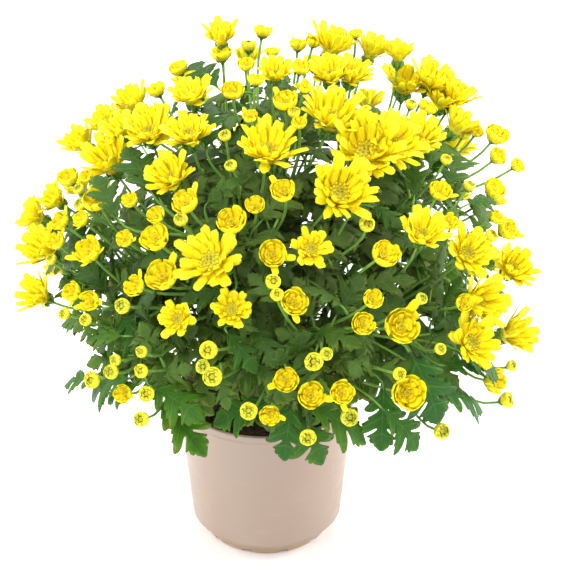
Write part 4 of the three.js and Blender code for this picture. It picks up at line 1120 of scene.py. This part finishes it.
def crumb(skin, k, edge):
    """A loose bit lying on the soil: a squashed rod of five sides with pointed ends."""
    radius, turn = (edge - CRUMBS["off_edge"]) * math.sqrt(vary(k, 51)), FULL_TURN * vary(k, 52)
    size = between(k, 53, CRUMBS["least"], CRUMBS["most"])
    centre = vec(radius * math.cos(turn), radius * math.sin(turn), soil_height(radius, edge) - 0.1 * size)
    along = unit(vec(vary(k, 54) - 0.5, vary(k, 55) - 0.5, 0.5 * vary(k, 56) - 0.25))
    side = square_to(along, UP)
    ring = spokes(side, np.cross(along, side), CRUMBS["sides"], squash=between(k, 57, 0.4, 0.9))
    rings = [centre + along * at * size + ring * size * wide for at, wide in CRUMB_RINGS]
    points = np.vstack([*rings, centre - along * size, centre + along * size])
    skin.add(points, tube_faces(2, CRUMBS["sides"]))


def make_soil(material):
    """Potting mix: a plug that fills the pot, its top crumbly and a little uneven, with loose bits on it."""
    top, gap, floor = SOIL["top"], SOIL["gap"], POT["floor"] + SOIL["gap"]
    edge_height = top - SOIL["crown"]
    edge, heel = pot_inside(edge_height) - gap, POT["heel_height"]
    outline = [(0, floor), (pot_inside(floor) - gap, floor), (pot_inside(heel) - gap, heel)]
    outline += [(edge, edge_height - 0.5), (edge - 0.8, edge_height + 0.2)]
    for k in range(SOIL["rings"]):
        radius = mixed(edge - 1.5, 1.5, k / (SOIL["rings"] - 1))
        outline.append((radius, soil_height(radius, edge)))
    skin = Skin()
    lathe(skin, outline + [(0, top)], SOIL["sides"])
    for point in skin.points[0]:
        if point[2] > edge_height - 0.4:
            spot = Vector(point)
            point[2] += sum(high * noise.noise(often * spot) for high, often in LUMPS) - LUMPS_SINK
    for k in range(CRUMBS["count"]):
        crumb(skin, k, edge)
    skin.piece("potting_soil", material, "soil")


# ---------------------------------------------------------------- materials

GLOW_DEPTH = 0.003  # how far light goes into petals, leaves and stems, in metres


def colour(red, green, blue):
    """A colour as seen on a screen, from 0 to 255 each, as Blender's linear values."""
    values = [v / 255 for v in (red, green, blue)]
    return (*(v / 12.92 if v <= 0.04045 else ((v + 0.055) / 1.055) ** 2.4 for v in values), 1.0)


class Paint:
    """A material and short names for making its nodes."""

    def __init__(self, name, shine, glow=0.0, glow_colours=(1.0, 1.0, 1.0)):
        self.material = bpy.data.materials.new(name)
        self.material.use_nodes = True
        self.nodes, self.links = self.material.node_tree.nodes, self.material.node_tree.links
        self.shader = self.nodes["Principled BSDF"]
        self.shader.inputs["Specular IOR Level"].default_value = shine
        if glow:
            self.shader.inputs["Subsurface Weight"].default_value = glow
            self.shader.inputs["Subsurface Scale"].default_value = GLOW_DEPTH
            self.shader.inputs["Subsurface Radius"].default_value = glow_colours

    def put(self, socket, value):
        if isinstance(value, bpy.types.NodeSocket):
            self.links.new(value, socket)
        else:
            socket.default_value = value

    def mark(self, name):
        """The number that the mesh has under this name at each point."""
        made = self.nodes.new("ShaderNodeAttribute")
        made.attribute_name = name
        return made.outputs["Fac"]

    def math(self, operation, *values):
        made = self.nodes.new("ShaderNodeMath")
        made.operation = operation
        for socket, value in zip(made.inputs, values):
            self.put(socket, value)
        return made.outputs[0]

    def times(self, a, b):
        return self.math("MULTIPLY", a, b)

    def most(self, a, b):
        return self.math("MAXIMUM", a, b)

    def off(self, value, middle=0.0):
        """How far the value is from the middle one."""
        return self.math("ABSOLUTE", self.math("SUBTRACT", value, middle) if middle else value)

    def mix(self, share, a, b):
        made = self.nodes.new("ShaderNodeMix")
        made.data_type = "RGBA"
        self.put(made.inputs[0], share)
        self.put(made.inputs[6], a)
        self.put(made.inputs[7], b)
        return made.outputs[2]

    def fade(self, value, low, high, start=0.0, end=1.0):
        """Goes smoothly from start to end as the value goes from low to high."""
        made = self.nodes.new("ShaderNodeMapRange")
        made.interpolation_type = "SMOOTHSTEP"
        for title, number in (("From Min", low), ("From Max", high), ("To Min", start), ("To Max", end)):
            made.inputs[title].default_value = number
        self.put(made.inputs["Value"], value)
        return made.outputs[0]

    def place(self):
        """Where a point is in its object, in metres."""
        return self.nodes.new("ShaderNodeTexCoord").outputs["Object"]

    def noise(self, scale, detail=2.0, stretch=(1, 1, 1)):
        mapping = self.nodes.new("ShaderNodeMapping")
        mapping.inputs["Scale"].default_value = stretch
        made = self.nodes.new("ShaderNodeTexNoise")
        made.inputs["Scale"].default_value = scale
        made.inputs["Detail"].default_value = detail
        self.links.new(self.place(), mapping.inputs[0])
        self.links.new(mapping.outputs[0], made.inputs["Vector"])
        return made.outputs["Fac"]

    def bump(self, height, strength, distance):
        made = self.nodes.new("ShaderNodeBump")
        made.inputs["Strength"].default_value = strength
        made.inputs["Distance"].default_value = distance
        self.put(made.inputs["Height"], height)
        self.links.new(made.outputs[0], self.shader.inputs["Normal"])

    def finish(self, base, roughness):
        self.put(self.shader.inputs["Base Color"], base)
        self.put(self.shader.inputs["Roughness"], roughness)
        return self.material


def petal_paint():
    """Yellow, with grooves and painted shade: deeper orange at the foot and in the inner whorls, darker in
    stripes along the grooves and along each petal's edges. The eye has its own deeper colour, and young heads
    are green.
    """
    paint = Paint("yellow_petal", 0.2, 0.2, (1.0, 0.8, 0.06))
    along, across, core, green = (paint.mark(name) for name in ("along", "across", "core", "green"))
    yellow = paint.mix(paint.mark("tint"), colour(255, 243, 36), colour(254, 236, 26))
    # Painted shade: deeper orange towards each petal's foot and on the inner whorls, where the petals shade
    # one another.
    foot = paint.times(paint.fade(along, 0.1, 0.75, 1.0, 0.0), 0.36)
    deep = paint.mix(paint.most(foot, paint.fade(core, 0.1, 0.9, 0.0, 0.3)), yellow, colour(254, 196, 20))
    grooves = paint.math("SINE", paint.times(across, 11.0))
    # Painted shade: a deeper yellow in stripes along the petals' grooves.
    groove_shaded = paint.mix(paint.fade(grooves, 0.2, 1.0, 0.0, 0.12), deep, colour(250, 214, 16))
    tight = paint.mix(paint.times(green, 0.7), groove_shaded, colour(186, 200, 70))
    middle = paint.mix(green, colour(196, 132, 18), colour(124, 128, 32))
    heart = paint.times(paint.fade(core, 0.75, 1.0, 0.0, 0.85), paint.fade(along, 0.1, 0.7, 1.0, 0.15))
    # Painted shade: a deeper yellow along each petal's side edges, where the petals shade one another.
    rim = paint.fade(paint.off(across), 0.6, 1.0, 0.0, 0.15)
    edge_shaded = paint.mix(rim, paint.mix(heart, tight, middle), colour(238, 200, 18))
    paint.bump(grooves, 0.25, 0.0003)
    return paint.finish(edge_shaded, paint.fade(paint.noise(900), 0.3, 0.7, 0.42, 0.58))


def leaf_paint():
    """Green, fresher in young leaves out at the dome's surface, with painted shade deeper in and near the
    top, mottled, with lighter veins and a paler underside.
    """
    paint = Paint("leaf", 0.15, 0.15, (0.6, 1.0, 0.1))
    line, out, tint = paint.mark("line"), paint.off(paint.mark("edge")), paint.mark("tint")
    # Painted shade: the young mark, which is partly a leaf's age, darkens the green deeper in the plant and
    # near its top.
    dark = paint.mix(tint, colour(56, 74, 32), colour(86, 106, 48))
    fresh = paint.mix(tint, colour(24, 78, 18), colour(58, 102, 26))
    mottle = paint.fade(paint.noise(180, 4.0), 0.35, 0.7, 0.0, 0.3)
    mottled = paint.mix(mottle, paint.mix(paint.mark("young"), dark, fresh), colour(46, 62, 27))
    veins = paint.fade(out, 0.015, 0.06, 1.0, 0.0)
    for at in LOBE_VEINS:
        veins = paint.most(veins, paint.fade(paint.off(line, at), 0.004, 0.014, 0.85, 0.0))
    wave = paint.math("SINE", paint.math("ADD", paint.times(line, 75.0), paint.times(out, -6.0)))
    veins = paint.most(veins, paint.fade(wave, 0.86, 1.0, 0.0, 0.35))
    veined = paint.mix(paint.times(veins, 0.22), mottled, colour(104, 146, 64))
    both = paint.mix(paint.times(paint.mark("under"), 0.6), veined, colour(88, 118, 62))
    paint.bump(paint.times(veins, -1.0), 0.35, 0.0006)
    return paint.finish(both, paint.fade(paint.noise(400), 0.3, 0.7, 0.42, 0.58))


def stem_paint():
    """Green with streaks, fresher on stalks than on cups and petioles, and woody towards the soil."""
    paint = Paint("green_stem", 0.35, 0.1, (0.5, 1.0, 0.2))
    young = paint.mix(paint.mark("tint"), colour(110, 158, 62), colour(140, 178, 84))
    green = paint.mix(paint.mark("leafy"), young, colour(92, 142, 52))
    woody = paint.mix(paint.fade(paint.mark("age"), 0.3, 0.95), green, colour(96, 88, 52))
    streaks = paint.noise(260, 3.0, (1, 1, 0.15))
    streaked = paint.mix(paint.fade(streaks, 0.4, 0.75, 0.0, 0.35), woody, colour(66, 104, 40))
    paint.bump(streaks, 0.3, 0.0004)
    return paint.finish(streaked, paint.fade(streaks, 0.3, 0.7, 0.45, 0.62))


def pot_paint():
    """Pinkish-brown plastic: tanned at the foot, a painted shadow under the rim band's step, patchy specks
    and pale rubs.
    """
    paint = Paint("pot_plastic", 0.4)
    patches = paint.noise(9, 3.0, (1, 1, 0.6))
    base = paint.mix(paint.fade(patches, 0.35, 0.7), colour(168, 149, 135), colour(163, 141, 127))
    apart = paint.nodes.new("ShaderNodeSeparateXYZ")
    paint.links.new(paint.place(), apart.inputs[0])
    height = apart.outputs["Z"]
    tanned = paint.mix(paint.fade(height, 0.003, 0.012, 0.5, 0.0), base, colour(186, 156, 112))
    # Painted shadow: a darker line on the wall just under the rim band's step.
    from_band_step = paint.off(height, (POT["height"] - POT["rim_band"]) * METRES)
    band_shadowed = paint.mix(paint.fade(from_band_step, 0.0004, 0.0022, 0.4, 0.0), tanned, colour(138, 116, 102))
    specks = paint.fade(paint.noise(320, 3.0), 0.7, 0.78, 0.0, 0.35)
    stains = paint.fade(paint.noise(28, 2.0), 0.56, 0.72)
    speckled = paint.mix(paint.times(specks, stains), band_shadowed, colour(128, 100, 84))
    rubs = paint.noise(60, 6.0, (1, 1, 5))
    rubbed = paint.mix(paint.fade(rubs, 0.55, 0.8, 0.0, 0.12), speckled, colour(198, 182, 168))
    paint.bump(paint.noise(1400, 2.0), 0.08, 0.0002)
    return paint.finish(rubbed, paint.fade(rubs, 0.3, 0.75, 0.34, 0.5))


def soil_paint():
    """Dark brown clods with paler bits."""
    paint = Paint("potting_mix", 0.2)
    clods = paint.noise(220, 6.0)
    brown = paint.mix(paint.fade(clods, 0.35, 0.65), colour(30, 22, 16), colour(74, 55, 38))
    bits = paint.mix(paint.fade(paint.noise(700, 2.0), 0.66, 0.74, 0.0, 0.7), brown, colour(120, 98, 70))
    paint.bump(clods, 0.9, 0.002)
    return paint.finish(bits, 0.95)


def floor_paint():
    return Paint("studio_floor", 0.1).finish(colour(250, 250, 250), 0.8)


# ---------------------------------------------------------------- growing the plant


def grow_plant():
    """The plan of the whole plant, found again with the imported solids."""
    heads, leaders = make_heads(), make_leaders()
    plant_heads(leaders, heads)
    stalks = [find_stalk(head) for head in heads]
    return {
        "heads": heads,
        "leaders": leaders,
        "stalks": stalks,
        "named_leaves": find_leaves(leaders, stalks),
        "fill_leaves": fill_leaves(leaders, stalks, heads),
    }


def find_nodes(plant, blooms):
    """Gives each head the node that holds it: a bloom, or the leafy stem that it grew on."""
    solids = {name: SolidPoints(name) for name in blooms}
    for head in plant["heads"]:
        middle = head.point(0, 0, SOLID_TOP[head.kind])
        found = [name for name, solid in solids.items() if solid.miss(middle) < CORNER_MISS["head"]]
        head.node = found[0] if found else head.leader.node


def dress_plant():
    plant = grow_plant()
    blooms = [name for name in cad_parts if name.startswith("bloom_")]
    find_nodes(plant, blooms)
    yellow, leaf_green, stem_green = petal_paint(), leaf_paint(), stem_paint()
    for name in blooms:
        dress_heads(f"petals_{name}", name, plant["heads"], yellow)
    for leader in plant["leaders"]:
        dress_leader(leader, plant, stem_green, leaf_green)
        dress_heads(f"small_heads_{leader.number}", leader.node, plant["heads"], yellow)


# ---------------------------------------------------------------- camera, floor and light

# Round lamps: name, place and aim in metres, diameter in metres, and power.
LAMPS = (
    ("key", (-0.5, -1.0, 1.9), (0, 0, 0.25), 1.0, 22),
    ("left", (-1.6, 0.3, 0.8), (0, 0, 0.15), 1.0, 17),
    ("right", (1.6, 0.3, 0.8), (0, 0, 0.15), 1.0, 26),
    ("back", (0.2, 1.4, 1.5), (0, 0, 0.25), 1.2, 14),
)
WORLD_LIGHT = 1.15
SENSOR = 36
FLOOR = {"reach": 6, "drop": 0.0004}  # metres: half its side, and how far it lies under the pot


def link_new(name, data):
    made = bpy.data.objects.new(name, data)
    bpy.context.scene.collection.objects.link(made)
    return made


def make_camera():
    """The view that the flower heads are listed in."""
    camera = bpy.data.cameras.new("camera")
    camera.sensor_width = SENSOR
    camera.lens = SENSOR * VIEW["units_per_mm"] * VIEW["distance"] / VIEW["size"]
    seer = link_new("camera", camera)
    seer.location = EYE * METRES
    seer.rotation_euler = (math.pi / 2 - RISE, 0, 0)
    bpy.context.scene.camera = seer


def make_floor():
    ground, reach = bpy.data.meshes.new("floor"), FLOOR["reach"]
    corners = [(-reach, -reach, 0), (reach, -reach, 0), (reach, reach, 0), (-reach, reach, 0)]
    ground.from_pydata(corners, [], [(0, 1, 2, 3)])
    ground.materials.append(floor_paint())
    floor = link_new("floor", ground)
    floor.location.z = -FLOOR["drop"]


def make_lights():
    world = bpy.data.worlds.new("studio")
    world.use_nodes = True
    background = world.node_tree.nodes["Background"]
    background.inputs["Color"].default_value = (1, 1, 1, 1)
    background.inputs["Strength"].default_value = WORLD_LIGHT
    bpy.context.scene.world = world
    for name, place, aim, size, power in LAMPS:
        light = bpy.data.lights.new(name, "AREA")
        light.shape, light.size, light.energy = "DISK", size, power
        lamp = link_new(name, light)
        lamp.location = place
        lamp.rotation_euler = (Vector(aim) - Vector(place)).to_track_quat("-Z", "Y").to_euler()


dress_plant()
make_pot(pot_paint())
make_soil(soil_paint())
bpy.context.scene.view_settings.view_transform = "Standard"
make_camera()
make_floor()
make_lights()
